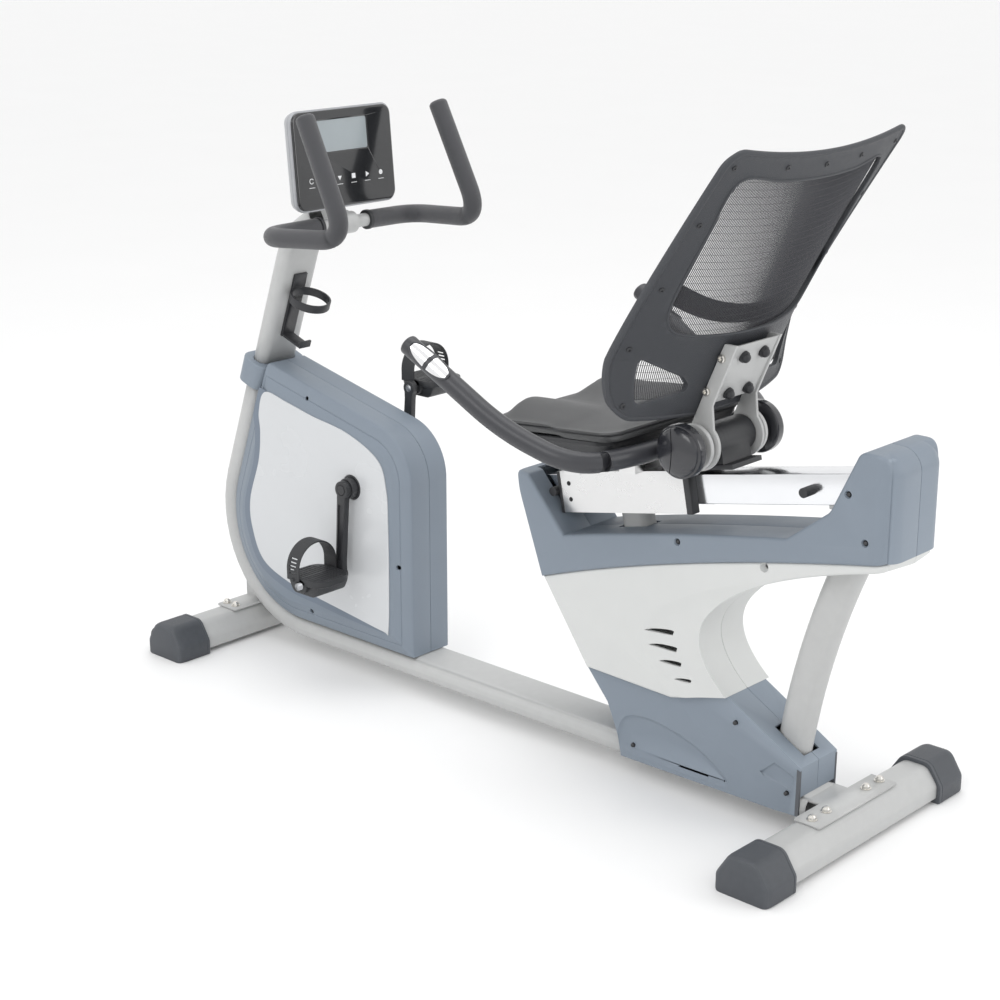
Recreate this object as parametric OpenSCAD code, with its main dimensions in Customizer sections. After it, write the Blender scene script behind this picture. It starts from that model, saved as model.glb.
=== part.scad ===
// Recumbent exercise bike: floor frame, belt drive with flywheel, sliding seat with
// reclining mesh backrest, side handles, upright handlebar and console.
// Millimetres, +Z up, front of the bike towards -X, rider's left towards -Y.
// The origin is on the floor, under the middle of the bike.

/* [Overall] */
// Length from the front bend of the frame to the rear shroud
overall_l = 1600; // [1560:10:1700]
// Overall width of the rear stabilizer with its caps
rear_foot_w = 574; // [480:2:700]
// Overall width of the front stabilizer with its caps
front_foot_w = 522; // [440:2:640]

/* [Frame] */
// Width of the flat-oval main tube
tube_w = 100; // [84:2:100]
// Thickness of the flat-oval main tube
tube_t = 42; // [36:1:46]
// Wall of the steel tubes
tube_wall = 2.5; // [1.5:0.5:4]
// Height of the main tube's centre line above the floor
beam_z = 48; // [44:1:56]
// Centre-line radius of the front bend
front_r = 214; // [190:2:225]
// Backward lean of the console post
post_lean = 20; // [15:1:25]
// Height at which the console post starts to bend towards the rider
post_bend_z = 800; // [740:5:900]

/* [Seat rail] */
// Rise angle of the rail towards the rear
rail_angle = 11.5; // [9:0.5:13]
// Length of the rail
rail_l = 700; // [680:5:705]
// Width of the rail
rail_w = 60; // [50:1:64]
// Height of the rail
rail_h = 50; // [44:1:54]
// Travel of the seat along the rail
seat_travel = 220; // [150:5:225]
// Length of the carriage that runs on the rail
carriage_l = 270; // [220:5:280]

/* [Seat] */
// Width of the seat cushion
seat_w = 396; // [330:2:420]
// Length of the seat cushion
seat_l = 290; // [260:2:292]
// Thickness of the seat cushion
cushion_t = 38; // [30:1:42]
// Width of the backrest at its widest
back_w = 490; // [420:2:520]
// Height of the backrest
back_h = 412; // [380:2:440]

/* [Drive] */
// Crank length, axle to pedal spindle
crank_l = 170; // [150:1:175]
// Radius of the drive pulley
pulley_r = 125; // [105:1:130]
// Radius of the flywheel
flywheel_r = 112; // [90:1:118]
// Radius of the small pulley on the flywheel
pinion_r = 20; // [16:1:26]
// Radius of the crank axle
axle_r = 8.5; // [7:0.5:10]

/* [Covers] */
// Half width of the front cover at its side face
cover_y = 62; // [58:1:66]
// Half width of the front cover at its rim
cover_rim_y = 48; // [46:1:52]
// Half width of the rear shroud's top shell
shroud_y = 75; // [70:1:84]
// Wall of the plastic shells
shell_wall = 3; // [2:0.5:4]

/* [Controls] */
// Width of the console
console_w = 253; // [200:1:270]
// Height of the console
console_h = 184; // [150:1:190]
// Half spacing of the handlebar's upright ends
bar_y = 167; // [155:1:200]
// Outside radius of the foam grips
grip_r = 17.5; // [15:0.5:19]
// Radius of the side handles
side_bar_r = 17; // [14:0.5:18]
// Inside radius of the bottle ring
bottle_r = 36; // [32:1:40]

/* [Hidden] */

$fn = 48;
light_grey = [0.78, 0.79, 0.79];
blue_grey = [0.47, 0.53, 0.60];
pale_grey = [0.88, 0.89, 0.90];
cap_grey = [0.27, 0.29, 0.32];
black = [0.09, 0.09, 0.10];
eps = 0.01;
touch = 0.3;
running = 0.05;

// ---- Lines and outlines -------------------------------------------------------------
function unit(v) = v / norm(v);
function bezier(a, b, c, n) =
    [for (i = [0:n]) let (t = i / n) (1 - t) * (1 - t) * a + 2 * t * (1 - t) * b + t * t * c];

// The arc that rounds corner b of the path a-b-c
function corner(a, b, c, r, n) =
    let (u = unit(a - b), v = unit(c - b), half = acos(u * v) / 2)
    let (centre = b + unit(u + v) * r / sin(half), p = b + u * r / tan(half),
         q = b + v * r / tan(half))
    let (a0 = atan2(p.y - centre.y, p.x - centre.x), a1 = atan2(q.y - centre.y, q.x - centre.x))
    let (turn = (a1 - a0 + 900) % 360 - 180)
    [for (i = [0:n]) let (a = a0 + turn * i / n) centre + r * [cos(a), sin(a)]];

// A closed outline from [x, y, radius] corners; radius 0 keeps the corner sharp
function outline(list, n = 6) =
    [for (i = [0:len(list) - 1])
        let (k = len(list), b = list[i], a = list[(i + k - 1) % k], c = list[(i + 1) % k])
        each b[2] == 0 ? [[b.x, b.y]]
            : corner([a.x, a.y], [b.x, b.y], [c.x, c.y], b[2], n)];

// The outline moved inwards by d (points run anticlockwise)
function inset(p, d) =
    [for (i = [0:len(p) - 1])
        let (k = len(p), a = p[(i + k - 1) % k], b = p[i], c = p[(i + 1) % k])
        let (u = unit(b - a), v = unit(c - b), m = [-u.y, u.x], n = [-v.y, v.x])
        b + (m + n) * d / (1 + m * n)];

function round_rect(w, h, r, n = 8) =
    outline([[w / 2, -h / 2, r], [w / 2, h / 2, r], [-w / 2, h / 2, r], [-w / 2, -h / 2, r]], n);

// The path a-v-b with its corner v rounded by a curve that starts d from it
function bend(a, v, b, d, n) = bezier(v + unit(a - v) * d, v, v + unit(b - v) * d, n);

// A hollow tube along a path. outside and inside are its section's outlines, with the same
// number of points, and ref is a direction that no stretch of the path runs along.
module sweep(path, outside, inside, ref) {
    k = len(path);
    sides = len(outside);
    function dir(i) = unit((i > 0 ? unit(path[i] - path[i - 1]) : [0, 0, 0])
        + (i < k - 1 ? unit(path[i + 1] - path[i]) : [0, 0, 0]));
    function ring(i, section) = let (t = dir(i), s = unit(cross(t, ref)), w = cross(s, t))
        [for (q = section) path[i] + q.x * s + q.y * w];
    outer = [for (i = [0:k - 1]) each ring(i, outside)];
    inner = [for (i = [0:k - 1]) each ring(i, inside)];
    in0 = k * sides;
    function id(i, j) = i * sides + j % sides;
    walls = [for (i = [0:k - 2], j = [0:sides - 1])
        each [[id(i, j), id(i, j + 1), id(i + 1, j + 1)], [id(i, j), id(i + 1, j + 1), id(i + 1, j)]]];
    bores = [for (i = [0:k - 2], j = [0:sides - 1])
        each [[in0 + id(i, j), in0 + id(i + 1, j + 1), in0 + id(i, j + 1)],
              [in0 + id(i, j), in0 + id(i + 1, j), in0 + id(i + 1, j + 1)]]];
    ends = [for (j = [0:sides - 1])
        each [[id(0, j), in0 + id(0, j + 1), id(0, j + 1)], [id(0, j), in0 + id(0, j), in0 + id(0, j + 1)],
              [id(k - 1, j), id(k - 1, j + 1), in0 + id(k - 1, j + 1)],
              [id(k - 1, j), in0 + id(k - 1, j + 1), in0 + id(k - 1, j)]]];
    polyhedron(concat(outer, inner), concat(walls, bores, ends), convexity = 8);
}
module tube_path(path, r, bore, ref, sides = 16) {
    function round_section(radius) = [for (j = [0:sides - 1])
        let (a = 360 * j / sides) radius * [cos(a), sin(a)]];
    sweep(path, round_section(r), round_section(bore), ref);
}

// A side-view outline (x, z) made solid from y0 to y1
module plate(y0, y1) {
    translate([0, y1, 0]) rotate([90, 0, 0]) linear_extrude(y1 - y0) children();
}
module rod_y(x, z, r, y0, y1) {
    translate([x, y1, z]) rotate([90, 0, 0]) cylinder(r = r, h = y1 - y0);
}
module ring_y(x, z, r, bore, y0, y1) {
    difference() {
        rod_y(x, z, r, y0, y1);
        rod_y(x, z, bore, y0 - 1, y1 + 1);
    }
}
module flip(side) {
    if (side > 0) mirror([0, 1, 0]) children();
    else children();
}
module both_sides() {
    children();
    mirror([0, 1, 0]) children();
}

// ---- Frame ---------------------------------------------------------------------------
front_x = -overall_l / 2;
rear_x = overall_l / 2;
bend_x = front_x + front_r + tube_t / 2;
bend_z = beam_z + front_r;
beam_top = beam_z + tube_t / 2;
front_foot_x = front_x + 60;
rear_foot_x = rear_x - 100;
beam_end_x = rear_foot_x - 46;
lean_dir = [sin(post_lean), cos(post_lean)];
// Where the straight, leaning stretch of the tube starts, and a point s along it
lean_start = [bend_x - front_r * cos(post_lean), bend_z + front_r * sin(post_lean)];
function lean_at(s) = lean_start + s * lean_dir;
lower_tube_s = 254;
post_w = tube_w - 2 * tube_wall - 1;
post_t = tube_t - 2 * tube_wall - 1;
post_bend_r = 130;
post_top_lean = 60;
post_end_l = 36;
post_overlap = 120;
post_bend_s = (post_bend_z - lean_start.y) / cos(post_lean);
post_bend_c = lean_at(post_bend_s) + post_bend_r * [cos(post_lean), -sin(post_lean)];
post_bend_end = post_bend_c + post_bend_r * [-cos(post_top_lean), sin(post_top_lean)];
post_end = post_bend_end + post_end_l * [sin(post_top_lean), cos(post_top_lean)];

// Outline of a flat-oval tube, w wide and t thick, with round edges
edge_flat = 0.5;
function oval(w, t) = round_rect(t, w, min(t, w) / 2 - edge_flat, 6);
module oval_2d(w, t, wall) {
    difference() {
        polygon(oval(w, t));
        polygon(oval(w - 2 * wall, t - 2 * wall));
    }
}
// A straight flat-oval tube from p (x, z), leaning back by lean from upright
module straight_tube(p, lean, l, w, t, wall) {
    translate([p.x, 0, p.y]) rotate([0, lean, 0]) linear_extrude(l) oval_2d(w, t, wall);
}
// A flat-oval tube bent about centre c with radius r, from lean a0 to lean a1
module bent_tube(c, r, a0, a1, w, t, wall) {
    translate([c.x, 0, c.y]) rotate([90, 0, 0]) rotate([0, 0, 180 - a1])
        rotate_extrude(angle = a1 - a0, $fn = max(96, r / 3)) translate([r, 0]) oval_2d(w, t, wall);
}
// Points (x, 0, z) along a tube's centre line where it bends about c, from lean a0 to lean a1
function lean_arc(c, r, a0, a1, n) =
    [for (i = [0:n]) let (a = a0 + (a1 - a0) * i / n) [c.x - r * cos(a), 0, c.y + r * sin(a)]];
module oval_sweep(path, w, t, wall) {
    sweep(path, oval(w, t), oval(w - 2 * wall, t - 2 * wall), [0, 1, 0]);
}

saddle_t = 5;
front_saddle_y = 98;
rear_saddle_y = 112;
tongue_y = 40;
foot_top = beam_z + 14;
tongue_in = 30;
front_bend_steps = 15;
module main_frame() color(light_grey) {
    tube_top = lean_at(lower_tube_s);
    oval_sweep(concat([[beam_end_x, 0, beam_z]],
        lean_arc([bend_x, bend_z], front_r, -90, post_lean, front_bend_steps),
        [[tube_top.x, 0, tube_top.y]]), tube_w, tube_t, tube_wall);
    // Rear saddle: a plate over the stabilizer, with a tongue that is welded into the beam's end
    saddle_z = foot_top + touch;
    translate([beam_end_x - tongue_in, -tongue_y, saddle_z])
        cube([rear_foot_x - beam_end_x + tongue_in, 2 * tongue_y, saddle_t]);
    translate([rear_foot_x - 24, -rear_saddle_y, saddle_z]) cube([48, 2 * rear_saddle_y, saddle_t]);
    // Front saddle: a plate on the stabilizer and a gusset up to the bend
    translate([front_foot_x - 24, -front_saddle_y, saddle_z]) cube([52, 2 * front_saddle_y, saddle_t]);
    plate(-24, 24) polygon([[front_foot_x - 20, saddle_z + 1], [front_foot_x + 28, saddle_z + 1],
        [front_foot_x + 28, beam_z + 40], [front_foot_x - 20, beam_z + 74]]);
}

post_bend_steps = 7;
module console_post() color(light_grey) {
    start = lean_at(lower_tube_s - post_overlap);
    oval_sweep(concat([[start.x, 0, start.y]],
        lean_arc(post_bend_c, post_bend_r, post_lean, post_top_lean, post_bend_steps),
        [[post_end.x, 0, post_end.y]]), post_w, post_t, tube_wall);
}

sleeve_w = 124;
sleeve_t = 68;
sleeve_l = 52;
sleeve_over = 12;
module post_sleeve() color(blue_grey) {
    p = lean_at(lower_tube_s + sleeve_over - sleeve_l);
    lip = sleeve_over - touch;
    translate([p.x, 0, p.y]) rotate([0, post_lean, 0]) difference() {
        linear_extrude(sleeve_l) polygon(round_rect(sleeve_t, sleeve_w, 24));
        translate([0, 0, -1]) linear_extrude(sleeve_l - lip + 1)
            polygon(round_rect(tube_t + 1, tube_w + 1, tube_t / 2));
        translate([0, 0, -1]) linear_extrude(sleeve_l + 2)
            polygon(round_rect(post_t + 1, post_w + 1, post_t / 2));
    }
}

// ---- Rail, its supports and the carriage's own axes ------------------------------------
rail_x = rear_x - 730;
rail_z = 497;
rail_slope = tan(rail_angle);
// Rail axes: u runs up the rail from its front end, w is square to it, 0 on its top face
module on_rail() {
    translate([rail_x, 0, rail_z]) rotate([0, -rail_angle, 0]) children();
}
function rail_point(u, w) =
    [rail_x + u * cos(rail_angle) - w * sin(rail_angle), rail_z + u * sin(rail_angle) + w * cos(rail_angle)];
module rail_box(u0, u1, y, w0, w1) {
    on_rail() translate([u0, -y, w0]) cube([u1 - u0, 2 * y, w1 - w0]);
}

arch_w = 40;
arch_t = 60;
arch_r = 1350;
arch_lean0 = 5;
arch_lean1 = 28;
arch_foot = [rear_x - 210, beam_top];
arch_c = arch_foot + arch_r * [cos(arch_lean0), -sin(arch_lean0)];
// The arch runs on into the rail's underside, where it is cut off
module arch(w, t, wall) {
    bent_tube(arch_c, arch_r, arch_lean0 - 0.6, arch_lean1 + 2, w, t, wall);
}
seat_post_x = rear_x - 440;
seat_post_lean = -14;
seat_post_t = 60;
seat_post_w = 40;
seat_post_l = 520;
bracket_l = 110;
bracket_t = 6;
module seat_frame() color(light_grey) {
    post_u = 180;
    arch_u = rail_l - bracket_l / 2;
    difference() {
        union() {
            arch(arch_w, arch_t, tube_wall);
            straight_tube([seat_post_x, beam_z], seat_post_lean, seat_post_l, seat_post_w, seat_post_t, tube_wall);
        }
        translate([0, -100, -50]) cube([rear_x, 200, beam_top + 50]);
        rail_box(-100, rail_l + 200, 100, -rail_h - bracket_t, 200);
    }
    for (u = [post_u, arch_u])
        rail_box(u - bracket_l / 2, u + bracket_l / 2, rail_w / 2, -rail_h - bracket_t, -rail_h);
}

rail_wall = 4;
module seat_rail() color("silver") on_rail() difference() {
    translate([0, -rail_w / 2, -rail_h]) cube([rail_l, rail_w, rail_h]);
    translate([-1, -rail_w / 2 + rail_wall, -rail_h + rail_wall])
        cube([rail_l + 2, rail_w - 2 * rail_wall, rail_h - 2 * rail_wall]);
}

carriage_u = 52;
carriage_y = 48;
carriage_top = 9;
carriage_low = -rail_h - 13;
front_glide_l = 6;
rear_glide_l = 12;
stop_r = 8;
stop_out = 26;
stop_gap = 0.5;
glide_end = carriage_u + carriage_l + rear_glide_l;
module rail_stops() color(black) {
    for (u = [carriage_u - front_glide_l - stop_r - stop_gap, glide_end + seat_travel + stop_r + stop_gap]) {
        p = rail_point(u, -rail_h / 2);
        both_sides() rod_y(p.x, p.y, stop_r, -rail_w / 2 - stop_out, -rail_w / 2);
    }
}

// ---- Stabilizers -----------------------------------------------------------------------
foot_w = 88;
foot_low = 8;
cap_l = 77;
cap_w = 103;
cap_top = foot_top + 7;
cap_wall = 5;
function foot_outline(w, z0, z1) = outline([[-w / 2, z0, 4], [w / 2, z0, 4],
    [w / 2, z0 + (z1 - z0) * 0.45, 16], [w * 0.26, z1, 20], [-w * 0.26, z1, 20],
    [-w / 2, z0 + (z1 - z0) * 0.45, 16]]);
module stabilizer(x, w, end) {
    plate(-w / 2 + end, w / 2 - end) translate([x, 0]) difference() {
        polygon(foot_outline(foot_w, foot_low, foot_top));
        polygon(inset(foot_outline(foot_w, foot_low, foot_top), tube_wall));
    }
}
module front_stabilizer() color(light_grey) stabilizer(front_foot_x, front_foot_w, wheel_end);
module rear_stabilizer() color(light_grey) stabilizer(rear_foot_x, rear_foot_w, cap_wall);

// A cap whose socket for the tube starts end inside its outer face
module foot_cap(x, w, end) {
    difference() {
        plate(-w / 2, -w / 2 + cap_l) translate([x, 0]) polygon(foot_outline(cap_w, 0, cap_top));
        plate(-w / 2 + end, -w / 2 + cap_l + 1)
            translate([x, 0]) polygon(foot_outline(foot_w, foot_low, foot_top));
    }
}
// Each front cap houses a transport wheel at its outer end, just clear of the floor
wheel_r = 26;
wheel_w = 20;
wheel_gap = 2;
wheel_pin_r = 4;
wheel_end = 42;
wheel_x = front_foot_x - 29;
wheel_z = wheel_r + 3;
wheel_y = -front_foot_w / 2 + wheel_end / 2 - 1;
module front_caps() color(cap_grey) both_sides() {
    difference() {
        foot_cap(front_foot_x, front_foot_w, wheel_end);
        translate([front_x, wheel_y - wheel_w / 2 - wheel_gap, -1])
            cube([wheel_x + wheel_r + wheel_gap - front_x, wheel_w + 2 * wheel_gap,
                wheel_z + wheel_r + wheel_gap + 1]);
    }
    rod_y(wheel_x, wheel_z, wheel_pin_r, wheel_y - wheel_w / 2 - wheel_gap - 1,
        wheel_y + wheel_w / 2 + wheel_gap + 1);
}
module rear_caps() color(cap_grey) both_sides() foot_cap(rear_foot_x, rear_foot_w, cap_wall);
module transport_wheel(side) color(black) flip(side) difference() {
    rod_y(wheel_x, wheel_z, wheel_r, wheel_y - wheel_w / 2, wheel_y + wheel_w / 2);
    rod_y(wheel_x, wheel_z, wheel_pin_r + running, wheel_y - wheel_w, wheel_y + wheel_w);
}
module wheel_left() transport_wheel(-1);
module wheel_right() transport_wheel(1);

bolt_in = 14;
bolt_pitch = 40;
// Domed bolts that hold the saddles down on the stabilizers
bolt_at = concat(
    [for (x = [-12, 14], y = [-1, 1]) [front_foot_x + x, y * (front_saddle_y - bolt_in)]],
    [for (k = [0, 1], y = [-1, 1]) [rear_foot_x, y * (rear_saddle_y - bolt_in - k * bolt_pitch)]]);
module stabilizer_bolts() color("silver") for (at = bolt_at)
    translate([at.x, at.y, foot_top + touch + saddle_t]) {
        cylinder(r = 9, h = 1.6);
        translate([0, 0, 1.6]) cylinder(r = 7, h = 4);
        translate([0, 0, 5.6]) cylinder(r1 = 7, r2 = 4, h = 3);
    }

// ---- Front cover -------------------------------------------------------------------------
cover_rear_x = front_x + 555;
cover_low = beam_top + 1;
cover_gap = 1;
cover_r = front_r - tube_t / 2 - cover_gap;
cover_top_z = 588;
cover_slope = 13;
cover_corner_r = 105;
bevel_in = 38;
// The front runs inside the tube's bend, the top slopes down to a round rear shoulder
cover_front_top = [bend_x - cover_r * cos(post_lean), bend_z + cover_r * sin(post_lean)]
    + (cover_top_z - bend_z - cover_r * sin(post_lean)) * [tan(post_lean), 1];
cover_rear_top = [cover_rear_x, cover_top_z - (cover_rear_x - cover_front_top.x) * tan(cover_slope)];
cover_line = concat(
    [[cover_rear_x, cover_low]],
    corner([cover_rear_x, cover_low], cover_rear_top, cover_front_top, cover_corner_r, 12),
    corner(cover_rear_top, cover_front_top, lean_start, 14, 3),
    [for (a = [180 - post_lean:(90 + post_lean) / 16:270 - eps])
        [bend_x + cover_r * cos(a), bend_z + cover_r * sin(a)]],
    [[bend_x, cover_low]]);

module cover_body(line, d, y_rim, y_side) {
    hull() {
        plate(-y_rim, 0) polygon(inset(line, d));
        plate(-y_side, 0) polygon(inset(line, d + bevel_in));
    }
}
crank_x = front_x + 410;
crank_z = 386;
crank_hole_r = 24;
sleeve_gap = 1;
module front_cover(side) color(blue_grey) flip(side) difference() {
    cover_body(cover_line, 0, cover_rim_y, cover_y);
    translate([0, touch, 0]) cover_body(cover_line, shell_wall, cover_rim_y - shell_wall, cover_y - shell_wall);
    // The front top corner stops at the sleeve on the post
    p = lean_at(lower_tube_s + sleeve_over - sleeve_l - sleeve_gap);
    translate([p.x, 0, p.y]) rotate([0, post_lean, 0]) translate([-sleeve_t, -cover_y - 1, 0])
        cube([1.5 * sleeve_t + sleeve_gap, cover_y + 2, 2 * sleeve_l]);
    // Open underneath, where the cover stands over the beam
    translate([bend_x - 30, -cover_rim_y + shell_wall, cover_low - 1])
        cube([cover_rear_x - shell_wall - bend_x + 30, cover_rim_y, 24]);
    rod_y(crank_x, crank_z, crank_hole_r, -cover_y - 1, 0);
    for (p = cover_screw_at) rod_y(p.x, p.y, screw_hole_r, -cover_y - 1, 0);
}
module cover_left() front_cover(-1);
module cover_right() front_cover(1);

panel_t = 2.5;
panel_in = 6;
panel_line = outline([[crank_x + 96, cover_low + 36, 14], [crank_x + 98, 400, 0], [crank_x + 74, 466, 40],
    [crank_x - 6, 500, 0], [crank_x - 106, 520, 0], [crank_x - 236, 545, 14], [crank_x - 252, 470, 60],
    [crank_x - 262, 420, 60], [crank_x - 290, 270, 90], [crank_x - 232, 150, 70], [crank_x - 120, 118, 80]]);
module side_panel(side) color(pale_grey) flip(side) difference() {
    plate(-cover_y - panel_t, -cover_y) polygon(inset(panel_line, panel_in));
    rod_y(crank_x, crank_z, crank_hole_r, -cover_y - panel_t - 1, 0);
}
module panel_left() side_panel(-1);
module panel_right() side_panel(1);

screw_r = 3.5;
screw_hole_r = 4;
screw_l = 5;
cover_screw_at = [[crank_x - 252, 352], [crank_x - 130, 100], [crank_x + 118, 250], [crank_x - 130, 536]];
shroud_screw_at = [[rear_x - 401, 458], [rear_x - 80, 606], [rear_x - 46, 536]];
low_screw_at = [[rear_x - 500, 60], [rear_x - 286, 165], [rear_x - 180, 72]];
module cover_screws() color(black) both_sides() {
    for (p = cover_screw_at) rod_y(p.x, p.y, screw_r, -cover_rim_y - 2, -cover_rim_y - 2 + screw_l);
    for (p = shroud_screw_at) rod_y(p.x, p.y, screw_r, -shroud_y + 1, -shroud_y + 1 + screw_l);
    for (p = low_screw_at) rod_y(p.x, p.y, screw_r, -low_y + 1, -low_y + 1 + screw_l);
}

// ---- Drive -------------------------------------------------------------------------------
fly_x = front_x + 258;
fly_z = 222;
fly_y0 = -24;
fly_y1 = 4;
plate_t = 6;
inner_plate_y = -34;
mid_plate_y = 8;
outer_plate_y = 38;
belt_y0 = 18;
belt_y1 = 34;
shell_r = 22;
bearing_w = 9;
fly_axle_r = 6;
brake_x = crank_x - 33;
brake_z = 300;
brake_pin_r = 4;
base_t = 5;
module drive_bracket() color(cap_grey) {
    base_x0 = fly_x - 20;
    base_x1 = crank_x + 45;
    translate([base_x0, inner_plate_y, beam_top])
        cube([base_x1 - base_x0, outer_plate_y + plate_t - inner_plate_y, base_t]);
    difference() {
        union() {
            for (y = [inner_plate_y, mid_plate_y]) plate(y, y + plate_t)
                polygon([[crank_x - 44, beam_top], [crank_x + 38, beam_top], [crank_x + 24, crank_z],
                    [crank_x - 24, crank_z], [crank_x - 44, brake_z]]);
            rod_y(crank_x, crank_z, shell_r, inner_plate_y, mid_plate_y + plate_t);
            for (y = [inner_plate_y, outer_plate_y]) plate(y, y + plate_t)
                polygon([[fly_x - 20, beam_top], [fly_x + 24, beam_top], [fly_x + 16, fly_z + 16],
                    [fly_x - 16, fly_z + 16]]);
            rod_y(brake_x, brake_z, brake_pin_r, inner_plate_y, mid_plate_y + plate_t);
        }
        rod_y(crank_x, crank_z, axle_r + 9, inner_plate_y - 1, mid_plate_y + plate_t + 1);
        rod_y(fly_x, fly_z, fly_axle_r, inner_plate_y - 1, outer_plate_y + plate_t + 1);
    }
}
module bearings() color("silver") {
    for (y = [inner_plate_y, mid_plate_y + plate_t - bearing_w])
        ring_y(crank_x, crank_z, axle_r + 9, axle_r + running, y, y + bearing_w);
}

arm_y0 = -92;
arm_t = 13;
module crank_axle() color("silver") rod_y(crank_x, crank_z, axle_r, arm_y0, -arm_y0);
crank_tilt = 4;
function crank_end(side) = [crank_x + side * crank_l * sin(crank_tilt), crank_z + side * crank_l * cos(crank_tilt)];
spindle_r = 7;
module crank_arm(side) color(black) difference() {
    e = crank_end(side);
    y0 = side < 0 ? arm_y0 : -arm_y0 - arm_t;
    union() {
        rod_y(crank_x, crank_z, 17, y0, y0 + arm_t);
        rod_y(e.x, e.y, 14, y0, y0 + arm_t);
        translate([crank_x, y0, crank_z]) rotate([0, side < 0 ? 180 + crank_tilt : crank_tilt, 0])
            translate([0, arm_t, 0]) rotate([90, 0, 0]) linear_extrude(arm_t)
                polygon([[-15, 0], [15, 0], [10, crank_l], [-10, crank_l]]);
    }
    rod_y(crank_x, crank_z, axle_r, y0 - 1, y0 + arm_t + 1);
    rod_y(e.x, e.y, spindle_r, y0 - 1, y0 + arm_t + 1);
}
module crank_left() crank_arm(-1);
module crank_right() crank_arm(1);

pulley_hub_r = 24;
module drive_pulley() color(cap_grey) difference() {
    union() {
        ring_y(crank_x, crank_z, pulley_r, pulley_r - 10, belt_y0, belt_y1);
        ring_y(crank_x, crank_z, pulley_r - 9, axle_r, belt_y0 + 5, belt_y1 - 5);
        ring_y(crank_x, crank_z, pulley_hub_r, axle_r, belt_y0, belt_y1);
    }
    for (a = [0:60:300])
        rod_y(crank_x + 70 * cos(a), crank_z + 70 * sin(a), 22, belt_y0 - 1, belt_y1 + 1);
}
// Outline of the belt, extra outside the pulleys
function belt_loop(extra) =
    let (gap = [fly_x - crank_x, fly_z - crank_z], aim = atan2(gap.y, gap.x))
    let (turn = acos((pulley_r - pinion_r) / norm(gap)))
    concat(
        [for (a = [aim + turn:(360 - 2 * turn) / 36:aim + 360 - turn + eps])
            [crank_x, crank_z] + (pulley_r + extra) * [cos(a), sin(a)]],
        [for (a = [aim - turn:turn / 6:aim + turn + eps])
            [fly_x, fly_z] + (pinion_r + extra) * [cos(a), sin(a)]]);
module drive_belt() color(black) plate(belt_y0 + 1, belt_y1 - 1) difference() {
    polygon(belt_loop(touch + 2.5));
    polygon(belt_loop(touch));
}
module flywheel() color("dimgray") {
    ring_y(fly_x, fly_z, flywheel_r, flywheel_r - 30, fly_y0, fly_y1);
    ring_y(fly_x, fly_z, flywheel_r - 29, fly_axle_r + running, fly_y0 + 9, fly_y1 - 9);
    ring_y(fly_x, fly_z, 18, fly_axle_r + running, fly_y0 + 2, belt_y0);
    ring_y(fly_x, fly_z, pinion_r, fly_axle_r + running, belt_y0 - eps, belt_y1);
}
module flywheel_axle() color("silver") rod_y(fly_x, fly_z, fly_axle_r, inner_plate_y - 6, outer_plate_y + plate_t);

brake_gap = 3;
brake_t = 7;
magnet_t = 4;
brake_y0 = fly_y0 - 1;
brake_y1 = fly_y1 + 1;
brake_from = 26;
brake_to = 82;
module fly_arc(r0, r1, a0, a1, y0, y1) {
    translate([fly_x, y1, fly_z]) rotate([90, 0, 0]) rotate([0, 0, a0])
        rotate_extrude(angle = a1 - a0, $fn = 96) translate([r0, 0]) square([r1 - r0, y1 - y0]);
}
module brake_arm() color("silver") plate(brake_y0, brake_y1) {
    r0 = flywheel_r + brake_gap + magnet_t;
    fly = [fly_x, fly_z];
    difference() {
        union() {
            intersection() {
                translate(fly) circle(r = r0 + brake_t, $fn = 96);
                polygon(concat([fly], [for (a = [brake_from:14:brake_to]) fly + 1.3 * r0 * [cos(a), sin(a)]]));
            }
            translate([brake_x, brake_z]) circle(r = 10);
            polygon([[brake_x - 8, brake_z - 9], [brake_x + 6, brake_z - 8],
                [brake_x + 4, brake_z + 9], [brake_x - 30, brake_z + 9]]);
        }
        translate(fly) circle(r = r0, $fn = 96);
        translate([brake_x, brake_z]) circle(r = brake_pin_r + running);
    }
}
module brake_magnets() color("dimgray") {
    r0 = flywheel_r + brake_gap;
    for (a = [42:12:78]) fly_arc(r0, r0 + magnet_t, a - 4.5, a + 4.5, brake_y0 + 3, brake_y1 - 3);
}
module tension_motor() color(black) {
    translate([crank_x - 30, inner_plate_y + plate_t + 1, beam_top + base_t]) cube([54, 32, 46]);
    translate([crank_x - 3, inner_plate_y + plate_t + 17, beam_top + base_t + 46]) cylinder(r = 12, h = 8);
}

// ---- Pedals ------------------------------------------------------------------------------
spindle_l = 106;
pedal_y0 = 6;
pedal_w = 92;
pedal_l = 98;
pedal_h = 26;
pedal_core_r = 15;
// A pedal on spindle end (x, z); y runs outwards from the crank's face
module on_pedal(side) {
    e = crank_end(side);
    flip(side) translate([e.x, arm_y0, e.y]) children();
}
module pedal_spindles() color("silver") for (side = [-1, 1]) on_pedal(side) {
    rod_y(0, 0, spindle_r, -spindle_l, arm_t);
    rod_y(0, 0, 10, -2, 0);
}
module pedal_body(side) color(black) on_pedal(side) difference() {
    union() {
        rod_y(0, 0, pedal_core_r, -pedal_y0 - pedal_w, -pedal_y0);
        // Tread platform over the spindle and the rounded weight under it
        translate([0, -pedal_y0 - pedal_w / 2, 2]) linear_extrude(pedal_h / 2)
            polygon(round_rect(pedal_l, pedal_w, 28));
        plate(-pedal_y0 - pedal_w + 8, -pedal_y0 - 8)
            polygon(outline([[-42, 3, 2], [-30, -20, 14], [30, -20, 14], [42, 3, 2]]));
    }
    rod_y(0, 0, spindle_r + running, -pedal_y0 - pedal_w - 3, -pedal_y0 + 1);
}
module pedal_left() pedal_body(-1);
module pedal_right() pedal_body(1);
strap_t = 3;
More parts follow.
